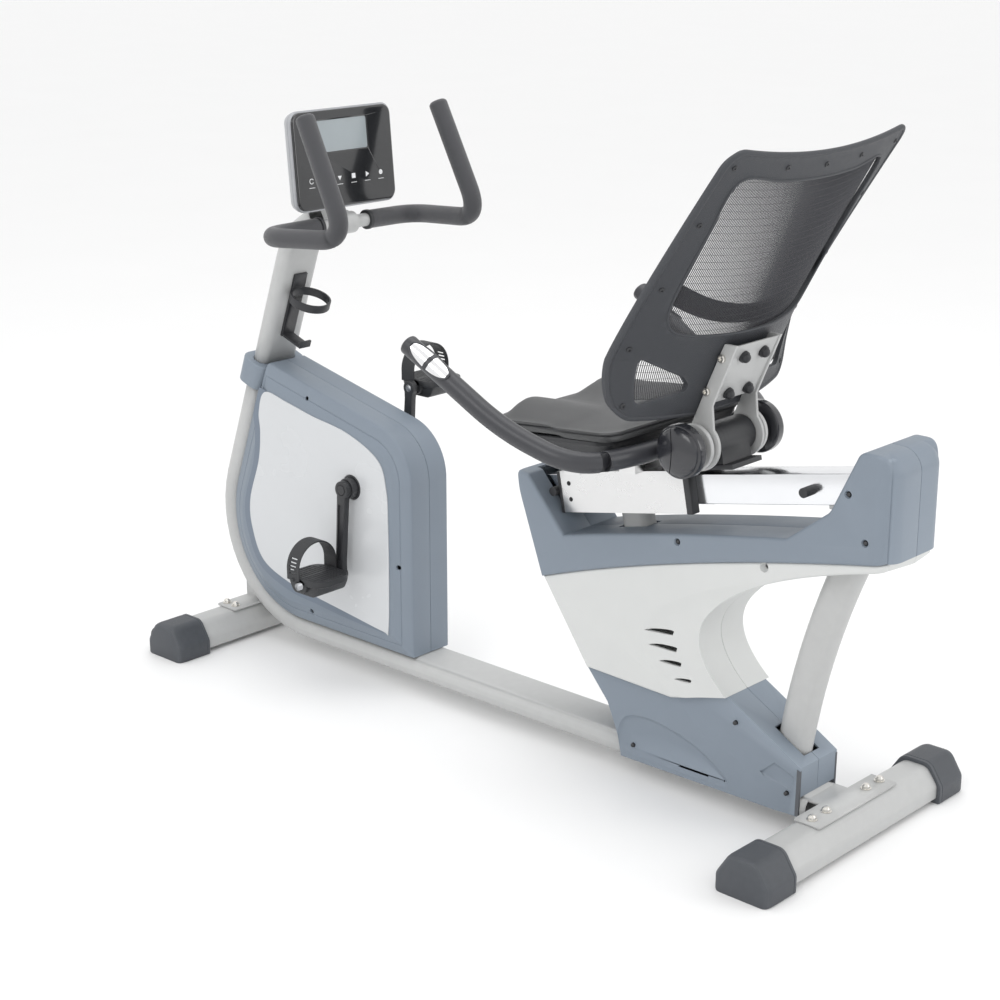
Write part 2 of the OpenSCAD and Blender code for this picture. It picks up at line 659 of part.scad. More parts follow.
strap_r = pedal_w / 2 + strap_t;
strap_w = 34;
strap_x = -18;
strap_rise = 14;
strap_low = 7;
module pedal_strap(side) color(black) on_pedal(side) {
    foot_z = 2 + pedal_h / 2;
    mid_y = -pedal_y0 - pedal_w / 2;
    translate([strap_x - strap_w / 2, mid_y, foot_z + strap_rise]) rotate([0, 90, 0]) rotate([0, 0, 90])
        rotate_extrude(angle = 180, $fn = 64) translate([strap_r - strap_t, 0]) square([strap_t, strap_w]);
    for (s = [-1, 1])
        translate([strap_x - strap_w / 2, mid_y + s * (strap_r - strap_t / 2) - strap_t / 2, foot_z - strap_low])
            cube([strap_w, strap_t, strap_rise + strap_low]);
}
module strap_left() pedal_strap(-1);
module strap_right() pedal_strap(1);

// ---- Rear shroud ----------------------------------------------------------------------------
mid_y = 70;
low_y = 58;
seam_a = [rear_x - 698, 327];
seam_b = [rear_x - 400, 435];
seam_c = [rear_x, 508];
seam_line = bezier(seam_a, seam_b, seam_c, 14);
horn_top = [rear_x - 766, 512];
mid_low = [[rear_x - 596, 183], [rear_x - 411, 178], [rear_x - 303, 206]];
mid_waist = [rear_x - 337, 350];
top_line = concat(seam_line,
    corner(seam_c, [rear_x, 676], [rear_x - 63, 676], 36, 6),
    corner([rear_x, 676], [rear_x - 63, 676], [rear_x - 112, 572], 18, 4),
    corner([rear_x - 63, 676], [rear_x - 112, 572], [rear_x - 166, 516], 40, 4),
    bezier([rear_x - 190, 511], [rear_x - 470, 462], [rear_x - 648, 414], 8),
    corner([rear_x - 660, 411], [rear_x - 730, 508], horn_top, 8, 4),
    corner([rear_x - 730, 508], horn_top, seam_a, 10, 4));
mid_line = concat(
    [mid_low[0], mid_low[1], mid_low[2]],
    bezier(mid_low[2] + [-2, 6], [rear_x - 398, 285], mid_waist, 8),
    bezier(mid_waist + [3, 3.2], [rear_x - 258, 436], [rear_x - 4, 495], 10),
    [for (i = [len(seam_line) - 1:-1:0]) seam_line[i]]);
low_line = [[rear_x - 607, 181], [rear_x - 558, 125], [rear_x - 534, 69], [rear_x - 526, 32],
    [rear_x - 157, 36], [rear_x - 156, 122], [rear_x - 222, 160],
    mid_low[2] + [0, -touch], mid_low[1] + [0, -touch], mid_low[0] + [0, -touch]];

arch_clear = 2;
module shell_half(line, y) {
    difference() {
        plate(-y, 0) polygon(line);
        plate(-y + shell_wall, touch) polygon(inset(line, shell_wall));
    }
}
post_clear = 2;
// Room for the arch and the seat post where they pass through the shells
module arch_cut() {
    r = arch_t / 2 + arch_clear;
    function side(r, a0, a1) = [for (i = [0:10]) let (a = a0 + (a1 - a0) * i / 10)
        arch_c + (arch_r + r) * [-cos(a), sin(a)]];
    plate(-arch_w / 2 - arch_clear, 1)
        polygon(concat(side(r, arch_lean0 - 2, arch_lean1 + 2), side(-r, arch_lean1 + 2, arch_lean0 - 2)));
}
module seat_post_cut() {
    x = seat_post_t / 2 + post_clear;
    translate([seat_post_x, 0, beam_z]) rotate([0, seat_post_lean, 0])
        translate([-x, -seat_post_w / 2 - post_clear, 0]) cube([2 * x, seat_post_w / 2 + post_clear + 1, 440]);
}
rail_clear = 5;
rail_nose = 10;
horn_notch_l = 110;
horn_notch_h = 80;
module shroud_top(side) color(blue_grey) flip(side) difference() {
    shell_half(top_line, shroud_y);
    rail_box(-rail_nose, rail_l + rail_clear, rail_w / 2 + rail_clear, -rail_h - bracket_t - rail_clear, rail_clear);
    rail_box(-rail_nose, horn_notch_l, rail_w / 2 + rail_clear, 0, horn_notch_h);
    arch_cut();
    seat_post_cut();
    for (p = shroud_screw_at) rod_y(p.x, p.y, screw_hole_r, -shroud_y - 1, 0);
}
module shroud_mid(side) color(pale_grey) flip(side) difference() {
    shell_half(mid_line, mid_y);
    arch_cut();
    seat_post_cut();
}
module shroud_low(side) color(blue_grey) flip(side) difference() {
    shell_half(low_line, low_y);
    translate([rear_x - 640, -tube_w / 2 - 1, 0]) cube([600, tube_w + 2, beam_top + 1]);
    arch_cut();
    seat_post_cut();
    for (p = low_screw_at) rod_y(p.x, p.y, screw_hole_r, -low_y - 1, 0);
}
module shroud_top_left() shroud_top(-1);
module shroud_top_right() shroud_top(1);
module shroud_mid_left() shroud_mid(-1);
module shroud_mid_right() shroud_mid(1);
module shroud_low_left() shroud_low(-1);
module shroud_low_right() shroud_low(1);

// ---- Carriage and seat -----------------------------------------------------------------------
carriage_wall = 3;
// The carriage is open below, so that it passes the seat post and the arch
lip_y = seat_post_w / 2 + 5;
bracket_w = 34;
pan_tilt = 6;
pan_x0 = rear_x - 720;
bracket_x = [pan_x0 + 70, pan_x0 + 190];
pan_z0 = 566;
pan_l = 258;
pan_t = 44;
function pan_low(x) = pan_z0 + (x - pan_x0) * tan(pan_tilt);
function carriage_top_z(x) = rail_z + (x - rail_x) * rail_slope + carriage_top / cos(rail_angle);
module carriage() color("silver") {
    on_rail() difference() {
        translate([carriage_u, -carriage_y, carriage_low])
            cube([carriage_l, 2 * carriage_y, carriage_top - carriage_low]);
        translate([carriage_u - 1, -carriage_y + carriage_wall, carriage_low + carriage_wall])
            cube([carriage_l + 2, 2 * (carriage_y - carriage_wall), carriage_top - carriage_low - 2 * carriage_wall]);
        translate([carriage_u - 1, -lip_y, carriage_low - 1]) cube([carriage_l + 2, 2 * lip_y, 2 * carriage_wall]);
    }
    // Two cross brackets that carry the seat pan
    for (x = bracket_x) plate(-rib_y + 5, rib_y - 5)
        polygon([[x, carriage_top_z(x) - 1], [x + bracket_w, carriage_top_z(x + bracket_w) - 1],
            [x + bracket_w, pan_low(x + bracket_w)], [x, pan_low(x)]]);
    // Pivot pin of the seat lock
    p = rail_point(lock_u, lock_w);
    rod_y(p.x, p.y, lock_pin_r, carriage_y - carriage_wall, carriage_y + 12);
}
module carriage_glides() color(black) on_rail()
    for (span = [[carriage_u - front_glide_l, front_glide_l], [carriage_u + carriage_l, rear_glide_l]])
        difference() {
            translate([span[0], -carriage_y - 1, carriage_low - 1])
                cube([span[1], 2 * carriage_y + 2, carriage_top - carriage_low + 1]);
            translate([span[0] - 1, -rail_w / 2 - touch, carriage_low - 2])
                cube([span[1] + 2, rail_w + 2 * touch, touch - carriage_low + 2]);
        }
lock_u = 200;
lock_w = -27;
lock_pin_r = 5;
lock_l = 96;
module seat_lock() color(black) {
    p = rail_point(lock_u, lock_w);
    y0 = carriage_y + 2;
    translate([p.x, y0 + 8, p.y]) rotate([0, -rail_angle, 0]) difference() {
        union() {
            rod_y(0, 0, 12, -8, 0);
            translate([-lock_l, -8, -9]) cube([lock_l, 8, 18]);
            rod_y(-lock_l, 0, 9, -8, 40);
        }
        rod_y(0, 0, lock_pin_r + running, -9, 1);
    }
}

module seat_plan(w, l, r) {
    polygon(outline([[0, -w / 2 + 12, r], [l, -w / 2, r / 2], [l, w / 2, r / 2], [0, w / 2 - 12, r]]));
}
module on_pan() {
    translate([pan_x0, 0, pan_z0]) rotate([0, -pan_tilt, 0]) children();
}
pan_w = seat_w - 26;
pan_wall = 5;
pan_rim = 14;
rib_y = 75;
// The pan is hollow at both sides of the middle rib that the carriage's brackets hold
module seat_pan() color(black) on_pan() difference() {
    linear_extrude(pan_t) seat_plan(pan_w, pan_l, 50);
    both_sides() translate([pan_rim, -pan_w / 2 + pan_rim, -1])
        cube([pan_l - 2 * pan_rim, pan_w / 2 - pan_rim - rib_y, pan_t + 1 - pan_wall]);
}
module seat_cushion() color([0.17, 0.18, 0.19])
    on_pan() translate([-4, 0, pan_t]) linear_extrude(cushion_t) seat_plan(seat_w, seat_l, 60);

hub_u = 374;
hub_w = 53.5;
hub = rail_point(hub_u, hub_w);
drum_r = 30;
drum_y = 54;
journal_r = 24;
journal_y = 95;
module hub_housing() color(black) {
    rail_box(hub_u - 100, hub_u + 46, 40, carriage_top, carriage_top + 8);
    rail_box(hub_u - 27, hub_u + 27, 38, carriage_top + 7, hub_w - 10);
    rod_y(hub.x, hub.y, drum_r, -drum_y, drum_y);
    rod_y(hub.x, hub.y, journal_r, -journal_y, journal_y);
}
cap_r = 45;
cap_y = 128;
module hub_caps() color(black) both_sides() {
    rod_y(hub.x, hub.y, cap_r, -cap_y + 10, -journal_y);
    translate([hub.x, -cap_y + 10 + eps, hub.y]) rotate([90, 0, 0]) cylinder(r1 = cap_r, r2 = cap_r - 16, h = 10);
}

// The side handles are one bar that passes in front of the hub and rises on both sides
bar_mid = [hub.x - cap_r - side_bar_r - 2, 0, hub.y - 13];
side_knots = [bar_mid, bar_mid + [0, -150, 0], bar_mid + [-34, -255, 0], bar_mid + [-159, -282, 42],
    bar_mid + [-354, -302, 157]];
side_half = concat(
    [bar_mid + [0, -50, 0]],
    bend(side_knots[0], side_knots[1], side_knots[2], 60, 5),
    bend(side_knots[1], side_knots[2], side_knots[3], 55, 6),
    bend(side_knots[2], side_knots[3], side_knots[4], 60, 5),
    [side_knots[4]]);
function mirrored(path) = [for (i = [len(path) - 1:-1:0]) [path[i].x, -path[i].y, path[i].z]];
module side_handles() color(black) {
    tube_path(concat(mirrored(side_half), side_half), side_bar_r, side_bar_r - 4, [0, 0, 1]);
    // Clamps that hold the bar to the hub
    for (y = [-34, 22]) plate(y, y + 12) difference() {
        polygon([[bar_mid.x + 4, hub.y - 22], [hub.x - drum_r + 3, hub.y - 22],
            [hub.x - drum_r + 3, hub.y - 2], [bar_mid.x + 4, hub.y - 2]]);
        translate([hub.x, hub.y]) circle(r = drum_r);
    }
}
sensor_at = [26, 62];
sensor_l = 28;
sensor_t = 1.6;
sensor_arc = 120;
// Two steel plates round the upper side of each handle's end
module pulse_sensors() color("silver") both_sides() {
    tip = side_knots[4];
    t = unit(side_knots[3] - tip);
    for (s = sensor_at) translate(tip + t * s) rotate([0, acos(t.z), atan2(t.y, t.x)])
        rotate([0, 0, 180 - sensor_arc / 2]) rotate_extrude(angle = sensor_arc)
            translate([side_bar_r + running, 0]) square([sensor_t, sensor_l]);
}

// ---- Backrest ----------------------------------------------------------------------------------
back_low = hub.y + 68;
back_rows = 12;
back_cols = 12;
back_t = 9;
mesh_t = 2;
// Side profile of the middle of the backrest and of its wings, as curves over the height
back_mid_low = hub.x - 14;
back_mid_top = hub.x + 178;
wing_low = hub.x - 50;
wing_top = hub.x + 168;
function mid_x(t) = back_mid_low + (back_mid_top - back_mid_low) * t;
wing_start = 0.22;
function wing_x(t) = t < wing_start ? wing_low - 6 * sin(180 * t / wing_start)
    : wing_low + (wing_top - wing_low) * pow((t - wing_start) / (1 - wing_start), 1.08);
function half_w(t) = back_w / 2 * (1 - 0.055 * t - 0.10 * pow(max(0, 1 - t / 0.22), 2));
// A point of the backrest: t up from the bottom, s from -1 to 1 across, d behind the front face
function back_at(t, s, d) = [mid_x(t) - (mid_x(t) - wing_x(t)) * s * s + d,
    half_w(t) * s, back_low + back_h * t + 22 * s * s * t - 16 * (1 - s * s) * (1 - t)];
// A slab over the cells of the backrest's grid for which keep is true
module back_slab(keep, d0, d1) {
    n = back_cols + 1;
    all = (back_rows + 1) * n;
    points = concat([for (i = [0:back_rows], j = [0:back_cols]) back_at(i / back_rows, 2 * j / back_cols - 1, d0)],
        [for (i = [0:back_rows], j = [0:back_cols]) back_at(i / back_rows, 2 * j / back_cols - 1, d1)]);
    function id(i, j) = i * n + j;
    function on(i, j) = i >= 0 && j >= 0 && i < back_rows && j < back_cols && keep(i, j);
    function wall(a, b) = [[a, b, b + all], [a, b + all, a + all]];
    faces = [for (i = [0:back_rows - 1], j = [0:back_cols - 1]) if (on(i, j)) each concat(
        [[id(i, j), id(i + 1, j), id(i + 1, j + 1)], [id(i, j), id(i + 1, j + 1), id(i, j + 1)]],
        [[all + id(i, j), all + id(i + 1, j + 1), all + id(i + 1, j)],
         [all + id(i, j), all + id(i, j + 1), all + id(i + 1, j + 1)]],
        on(i - 1, j) ? [] : wall(id(i, j), id(i, j + 1)),
        on(i + 1, j) ? [] : wall(id(i + 1, j + 1), id(i + 1, j)),
        on(i, j - 1) ? [] : wall(id(i + 1, j), id(i, j)),
        on(i, j + 1) ? [] : wall(id(i, j + 1), id(i + 1, j + 1)))];
    polyhedron(points, faces, convexity = 10);
}
lumbar_row = 3;
function is_window(i, j) = j > 0 && j < back_cols - 1 && i > lumbar_row && i < back_rows - 1;
function is_low_window(i, j) = i == 1 && ((j > 0 && j < 4) || (j > back_cols - 5 && j < back_cols - 1));
module backrest_frame() color(black)
    back_slab(function(i, j) !is_window(i, j) && !is_low_window(i, j), 0, back_t);
module backrest_mesh() color([0.2, 0.2, 0.22])
    back_slab(function(i, j) j > 0 && j < back_cols - 1 && i > 0 && i < back_rows - 1, -mesh_t, 0);

arm_y = 62;
arm_plate_t = 6;
back_plate_x = back_t + 14;
plate_t0 = 0.04;
plate_t1 = 0.27;
plate_up = 4;
plate_deep = 5;
function spine(t, d) = let (p = back_at(t, 0, d)) [p.x, p.z];
module backrest_bracket() color(light_grey) {
    low = spine(plate_t0, back_plate_x);
    high = spine(plate_t1, back_plate_x);
    both_sides() difference() {
        plate(-arm_y, -arm_y + arm_plate_t) union() {
            translate([hub.x, hub.y]) circle(r = cap_r - 3);
            polygon([[hub.x - 30, hub.y + 20], [hub.x + 30, hub.y + 20], low + [8, 0], high + [8, 6],
                high + [-20, 6], low + [-20, 0]]);
        }
        rod_y(hub.x, hub.y, journal_r + running, -arm_y - 1, -arm_y + arm_plate_t + 1);
        back_clear(plate_t0 - 0.2, plate_t1 + 0.2);
    }
    // Back plate between the arms, and the pads that the backrest is bolted to
    plate(-arm_y + arm_plate_t - eps, arm_y - arm_plate_t + eps)
        polygon([low + [0, plate_up], high + [0, plate_up], high + [plate_deep, plate_up], low + [plate_deep, plate_up]]);
}
// The space that the backrest itself takes, with a little room behind it
module back_clear(t0, t1) {
    n = 6;
    plate(-arm_y - 2, -arm_y + arm_plate_t + 2) polygon(concat(
        [for (i = [0:n]) let (t = t0 + (t1 - t0) * i / n, p = back_at(t, 56 / half_w(max(t, 0)), back_t + touch))
            [p.x, p.z]],
        [for (i = [n:-1:0]) let (t = t0 + (t1 - t0) * i / n, p = back_at(t, 0, -80)) [p.x, p.z]]));
}
module dome(r) {
    rotate_extrude() intersection() {
        circle(r = r);
        square(r + 1);
    }
}
module backrest_bolts() color(black) {
    run = spine(plate_t1, 0) - spine(plate_t0, 0);
    lean = atan2(run.x, run.y);
    out = [cos(lean), -sin(lean)];
    for (t = [0.075, 0.225], y = [-26, 26]) {
        p = back_at(t, y / half_w(t), back_t);
        // The plate's front face is met here, and its rear face plate_deep further on
        q = spine(t, back_plate_x) + [0, plate_up];
        translate([q.x, y, q.y]) rotate([0, 90 + lean, 0]) translate([0, 0, plate_deep * cos(lean) + touch]) {
            cylinder(r = 10, h = 5);
            translate([0, 0, 5]) dome(8.5);
        }
        translate([p.x, y, p.z]) rotate([0, 90 + lean, 0]) translate([0, 0, touch])
            cylinder(r = 9, h = (q - [p.x, p.z]) * out - 2 * touch);
    }
}

// ---- Handlebar, console and bottle cage -----------------------------------------------------------
bar_x = post_end.x + 45;
bar_z = post_end.y - 11;
bar_tube_r = 12.5;
bar_knots = [[bar_x, 0, bar_z], [bar_x - 12, -bar_y - 26, bar_z - 4], [bar_x + 190, -bar_y - 4, bar_z + 10],
    [bar_x + 84, -bar_y, bar_z + 219]];
bar_half = concat(
    [[bar_x, -24, bar_z]],
    bend(bar_knots[0], bar_knots[1], bar_knots[2], 55, 7),
    bend(bar_knots[1], bar_knots[2], bar_knots[3], 62, 9),
    [bar_knots[3]]);
bar_ref = [0.9, 0, 0.43];
module handlebar() color(light_grey)
    tube_path(concat(mirrored(bar_half), bar_half), bar_tube_r, bar_tube_r - 2, bar_ref);
module handlebar_grips() color(black) both_sides()
    tube_path(concat([[bar_x - 3, -60, bar_z - 1]], [for (i = [1:len(bar_half) - 1]) bar_half[i]]),
        grip_r, bar_tube_r + touch, bar_ref);
clamp_w = 44;
module handlebar_clamp() color(light_grey) difference() {
    union() {
        rod_y(bar_x, bar_z, bar_tube_r + 8, -clamp_w / 2, clamp_w / 2);
        plate(-clamp_w / 2, clamp_w / 2)
            polygon([post_end + [1.5, 16], post_end + [17, -12], [bar_x, bar_z - 16], [bar_x, bar_z + 18]]);
    }
    // Split bearing for the bar
    rod_y(bar_x, bar_z, bar_tube_r + touch, -clamp_w, clamp_w);
}

console_tilt = 5;
console_t = 26;
console_x = bar_x + 12;
console_low = bar_z + 32;
console_r = 22;
module on_console() {
    translate([console_x, 0, console_low]) rotate([0, -console_tilt, 0]) children();
}
module console_plate(x0, x1, grow) {
    translate([x0, 0, console_h / 2]) rotate([90, 0, 90]) linear_extrude(x1 - x0)
        polygon(round_rect(console_w + 2 * grow, console_h + 2 * grow, console_r + grow));
}
module console_housing() color("silver") {
    on_console() console_plate(-console_t, 0, 0);
    // Stalk that drops from the housing's back to the post's end
    plate(-24, 24) polygon([[console_x - console_t - 26, console_low + 60],
        [console_x - console_t - 2, console_low + 60], [console_x - console_t + 3, console_low + 1],
        post_end + [3, 19], post_end + [-22, 12]]);
}
module console_face() color(black) on_console() console_plate(0, 4, -3);

cage_s = post_bend_s - 168;
cage_l = 136;
cage_t = 5;
cage_ring_h = 16;
module bottle_cage() color(black) {
    p = lean_at(cage_s);
    translate([p.x, 0, p.y]) rotate([0, post_lean, 0]) translate([post_t / 2, 0, 0]) {
        translate([0, -16, 0]) cube([cage_t, 32, cage_l]);
        translate([cage_t + bottle_r + 1, 0, cage_l - 46]) difference() {
            cylinder(r = bottle_r + 4, h = cage_ring_h);
            translate([0, 0, -1]) cylinder(r = bottle_r, h = cage_ring_h + 2);
        }
        // Hooked shelf under the bottle
        translate([0, -14, 0]) cube([cage_t + bottle_r + 16, 28, 4]);
        translate([cage_t + bottle_r + 12, -14, 0]) cube([4, 28, 14]);
    }
}

main_frame();
console_post();
post_sleeve();
seat_frame();
seat_rail();
rail_stops();
front_stabilizer();
rear_stabilizer();
front_caps();
rear_caps();
wheel_left();
wheel_right();
stabilizer_bolts();
cover_left();
cover_right();
panel_left();
panel_right();
cover_screws();
drive_bracket();
bearings();
crank_axle();
crank_left();
crank_right();
drive_pulley();
pedal_spindles();
pedal_left();
pedal_right();
strap_left();
strap_right();
drive_belt();
flywheel();
flywheel_axle();
brake_arm();
brake_magnets();
tension_motor();
shroud_top_left();
shroud_top_right();
shroud_mid_left();
shroud_mid_right();
shroud_low_left();
shroud_low_right();
carriage();
carriage_glides();
seat_lock();
seat_pan();
seat_cushion();
hub_housing();
hub_caps();
side_handles();
pulse_sensors();
backrest_bracket();
backrest_frame();
backrest_mesh();
backrest_bolts();
handlebar();
handlebar_grips();
handlebar_clamp();
console_housing();
console_face();
bottle_cage();
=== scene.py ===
"""Looks of the recumbent exercise bike: detailed shells, seat, mesh back, grips, console, pedals
and finishes around the fixed CAD frame. Metres, front -X, rider's left -Y, +Z up."""
import math

import bmesh
import bpy
import numpy as np
from mathutils import Matrix, Vector


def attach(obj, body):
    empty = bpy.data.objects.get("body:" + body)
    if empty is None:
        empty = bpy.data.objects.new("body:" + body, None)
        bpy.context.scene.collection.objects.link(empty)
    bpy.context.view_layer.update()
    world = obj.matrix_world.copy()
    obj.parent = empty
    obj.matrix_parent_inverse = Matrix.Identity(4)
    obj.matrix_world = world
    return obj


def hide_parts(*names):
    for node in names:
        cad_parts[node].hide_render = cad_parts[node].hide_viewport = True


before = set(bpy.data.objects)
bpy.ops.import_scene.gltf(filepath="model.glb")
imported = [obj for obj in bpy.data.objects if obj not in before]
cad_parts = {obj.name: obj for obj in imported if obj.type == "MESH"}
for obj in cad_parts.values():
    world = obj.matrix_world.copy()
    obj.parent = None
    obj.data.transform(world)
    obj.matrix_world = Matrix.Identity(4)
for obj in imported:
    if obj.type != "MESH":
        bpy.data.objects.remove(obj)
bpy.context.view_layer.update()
MM = 0.001

# ---- Camera ----
CAMERA_AT = (2.3005, -2.5585, 1.5)
CAMERA_TURN = 42.75
CAMERA_DOWN = 17.3
CAMERA_LENS = 72.32


def make_camera():
    data = bpy.data.cameras.new("camera")
    data.lens = CAMERA_LENS
    data.sensor_width = 36
    camera = bpy.data.objects.new("camera", data)
    bpy.context.scene.collection.objects.link(camera)
    camera.location = CAMERA_AT
    camera.rotation_euler = (math.radians(90 - CAMERA_DOWN), 0, math.radians(CAMERA_TURN))
    bpy.context.scene.camera = camera


make_camera()


# ---- Materials ----
FINISHES = {}


def finish_of(name, color, rough, metallic=0.0, coat=0.0, sheen=0.0, grain=(900, 0.02),
    mottle=(60, 0.05), rough_spread=0.08, stretch=(1, 1, 1), cells=None, wear=0.0, bump_depth=0.0004):
    """A procedural finish: colour drifts with soft noise, roughness varies, and fine grain bumps the surface.
    grain and mottle are (scale, amount), stretch draws the grain out, and cells adds a leather-like pattern."""
    material = bpy.data.materials.new(name)
    material.use_nodes = True
    tree = material.node_tree
    join = tree.links.new
    shader = tree.nodes["Principled BSDF"]
    for key, value in (("Metallic", metallic), ("Coat Weight", coat), ("Coat Roughness", 0.12),
        ("Sheen Weight", sheen), ("Sheen Roughness", 0.5)):
        shader.inputs[key].default_value = value

    def node(kind, **values):
        made = tree.nodes.new(kind)
        for key, value in values.items():
            if key in made.inputs:
                made.inputs[key].default_value = value
            else:
                setattr(made, key, value)
        return made

    place = node("ShaderNodeTexCoord")
    mapping = node("ShaderNodeMapping")
    mapping.inputs["Scale"].default_value = stretch
    join(place.outputs["Object"], mapping.inputs["Vector"])
    fine = node("ShaderNodeTexNoise", Scale=grain[0], Detail=4.0, Roughness=0.6)
    broad = node("ShaderNodeTexNoise", Scale=mottle[0], Detail=3.0)
    join(mapping.outputs["Vector"], fine.inputs["Vector"])
    join(place.outputs["Object"], broad.inputs["Vector"])
    shade = node("ShaderNodeMix", data_type="RGBA")
    light = [min(1.0, c * (1 + mottle[1])) for c in color] + [1]
    dark = [c * (1 - mottle[1]) for c in color] + [1]
    shade.inputs[6].default_value = dark
    shade.inputs[7].default_value = light
    join(broad.outputs["Fac"], shade.inputs[0])
    last = shade.outputs[2]
    if wear:
        geometry = node("ShaderNodeNewGeometry")
        edge = node("ShaderNodeMapRange")
        edge.inputs["From Min"].default_value = 0.52
        edge.inputs["From Max"].default_value = 0.62
        edge.inputs["To Max"].default_value = wear
        join(geometry.outputs["Pointiness"], edge.inputs["Value"])
        worn = node("ShaderNodeMix", data_type="RGBA")
        worn.inputs[7].default_value = [min(1.0, c * 1.5 + 0.05) for c in color] + [1]
        join(edge.outputs["Result"], worn.inputs[0])
        join(last, worn.inputs[6])
        last = worn.outputs[2]
    join(last, shader.inputs["Base Color"])
    spread = node("ShaderNodeMapRange")
    spread.inputs["To Min"].default_value = max(0.02, rough - rough_spread)
    spread.inputs["To Max"].default_value = min(1.0, rough + rough_spread)
    join(broad.outputs["Fac"], spread.inputs["Value"])
    join(spread.outputs["Result"], shader.inputs["Roughness"])
    bump = node("ShaderNodeBump", Strength=grain[1] * 10, Distance=bump_depth)
    height = fine.outputs["Fac"]
    if cells:
        pattern = node("ShaderNodeTexVoronoi", Scale=cells[0], feature="DISTANCE_TO_EDGE")
        join(mapping.outputs["Vector"], pattern.inputs["Vector"])
        ridge = node("ShaderNodeMapRange")
        ridge.inputs["From Max"].default_value = 0.12
        ridge.inputs["To Max"].default_value = cells[1]
        join(pattern.outputs["Distance"], ridge.inputs["Value"])
        both = node("ShaderNodeMath", operation="ADD")
        join(ridge.outputs["Result"], both.inputs[0])
        join(height, both.inputs[1])
        height = both.outputs[0]
    join(height, bump.inputs["Height"])
    join(bump.outputs["Normal"], shader.inputs["Normal"])
    FINISHES[name] = material
    return material


finish_of("frame_paint", (0.47, 0.475, 0.472), 0.42, coat=0.15, grain=(1400, 0.03), wear=0.2)
finish_of("blue_shell", (0.205, 0.243, 0.290), 0.46, grain=(1700, 0.05), mottle=(25, 0.03), wear=0.3)
finish_of("blue_band", (0.165, 0.20, 0.25), 0.42, grain=(1700, 0.05), mottle=(25, 0.03))
finish_of("pale_shell", (0.62, 0.63, 0.622), 0.42, grain=(1700, 0.04), mottle=(25, 0.02))
finish_of("side_panel", (0.60, 0.615, 0.63), 0.27, coat=0.35, grain=(900, 0.002), mottle=(6, 0.012),
    rough_spread=0.015)
finish_of("foot_cap", (0.060, 0.066, 0.076), 0.5, grain=(1100, 0.08), mottle=(90, 0.18), wear=0.5)
finish_of("black_plastic", (0.020, 0.021, 0.024), 0.4, grain=(1500, 0.06), mottle=(80, 0.15), wear=0.3)
finish_of("back_plastic", (0.040, 0.043, 0.050), 0.5, grain=(2600, 0.14), mottle=(70, 0.10), wear=0.3)
finish_of("hub_plastic", (0.022, 0.023, 0.028), 0.22, coat=0.5, grain=(1200, 0.02), mottle=(60, 0.1))
finish_of("rail_metal", (0.80, 0.81, 0.83), 0.16, metallic=1.0, grain=(500, 0.02),
    mottle=(40, 0.03), stretch=(0.04, 1, 1), rough_spread=0.04)
finish_of("steel_plate", (0.72, 0.72, 0.72), 0.28, metallic=1.0, grain=(700, 0.03),
    mottle=(30, 0.02), stretch=(0.05, 1, 1), rough_spread=0.025)
finish_of("drive_steel", (0.42, 0.43, 0.45), 0.38, metallic=1.0, grain=(500, 0.04), mottle=(50, 0.1))
finish_of("bolt_steel", (0.72, 0.70, 0.66), 0.2, metallic=1.0, grain=(900, 0.03), mottle=(200, 0.08))
finish_of("sensor_steel", (0.86, 0.86, 0.87), 0.12, metallic=1.0, grain=(600, 0.01),
    mottle=(60, 0.02), rough_spread=0.03)
finish_of("flywheel_iron", (0.15, 0.15, 0.16), 0.5, metallic=0.8, grain=(600, 0.08), mottle=(60, 0.2))
finish_of("soft_rubber", (0.028, 0.029, 0.032), 0.55, grain=(1300, 0.10), mottle=(90, 0.2))
finish_of("grip_foam", (0.050, 0.051, 0.057), 0.62, sheen=0.25, grain=(2200, 0.16), mottle=(120, 0.12))
finish_of("handle_coat", (0.036, 0.037, 0.043), 0.36, coat=0.1, grain=(1500, 0.04), mottle=(60, 0.08))
finish_of("seat_vinyl", (0.066, 0.068, 0.070), 0.5, grain=(1600, 0.05), mottle=(30, 0.08),
    cells=(700, 0.5), bump_depth=0.00025)
finish_of("mesh_cloth", (0.040, 0.041, 0.050), 0.7, sheen=0.3, grain=(3000, 0.2), mottle=(200, 0.2))
finish_of("console_shell", (0.40, 0.41, 0.43), 0.34, metallic=0.3, coat=0.2, grain=(1500, 0.03))
finish_of("console_lens", (0.016, 0.017, 0.019), 0.08, coat=0.8, grain=(300, 0.002),
    mottle=(10, 0.1), rough_spread=0.02)
finish_of("display", (0.33, 0.37, 0.39), 0.15, coat=0.6, grain=(300, 0.002), mottle=(14, 0.08))
finish_of("icon_white", (0.80, 0.81, 0.82), 0.4, grain=(900, 0.01), mottle=(40, 0.03))
# Near-black painted shade that stands for the inside of the carriage holes.
finish_of("painted_hole_shade", (0.008, 0.008, 0.010), 0.7, grain=(900, 0.02), mottle=(40, 0.1))


# ---- Mesh helpers ----
def unit(v):
    v = np.asarray(v, float)
    return v / np.linalg.norm(v)


def turns(n):
    """n angles spread evenly round a circle."""
    return np.linspace(0, 2 * math.pi, n, endpoint=False)


def polar(r, a):
    """The flat point r from the origin at angle a."""
    return r * np.array([math.cos(a), math.sin(a)])


def ease(t):
    t = np.clip(t, 0, 1)
    return t * t * (3 - 2 * t)


def bezier(a, b, c, n):
    a, b, c = (np.asarray(p, float) for p in (a, b, c))
    return [(1 - t) ** 2 * a + 2 * t * (1 - t) * b + t * t * c for t in np.linspace(0, 1, n + 1)]


def bend(a, v, b, d, n):
    """The path a-v-b with its corner rounded by a curve that starts d from it."""
    a, v, b = (np.asarray(p, float) for p in (a, v, b))
    return bezier(v + unit(a - v) * d, v, v + unit(b - v) * d, n)


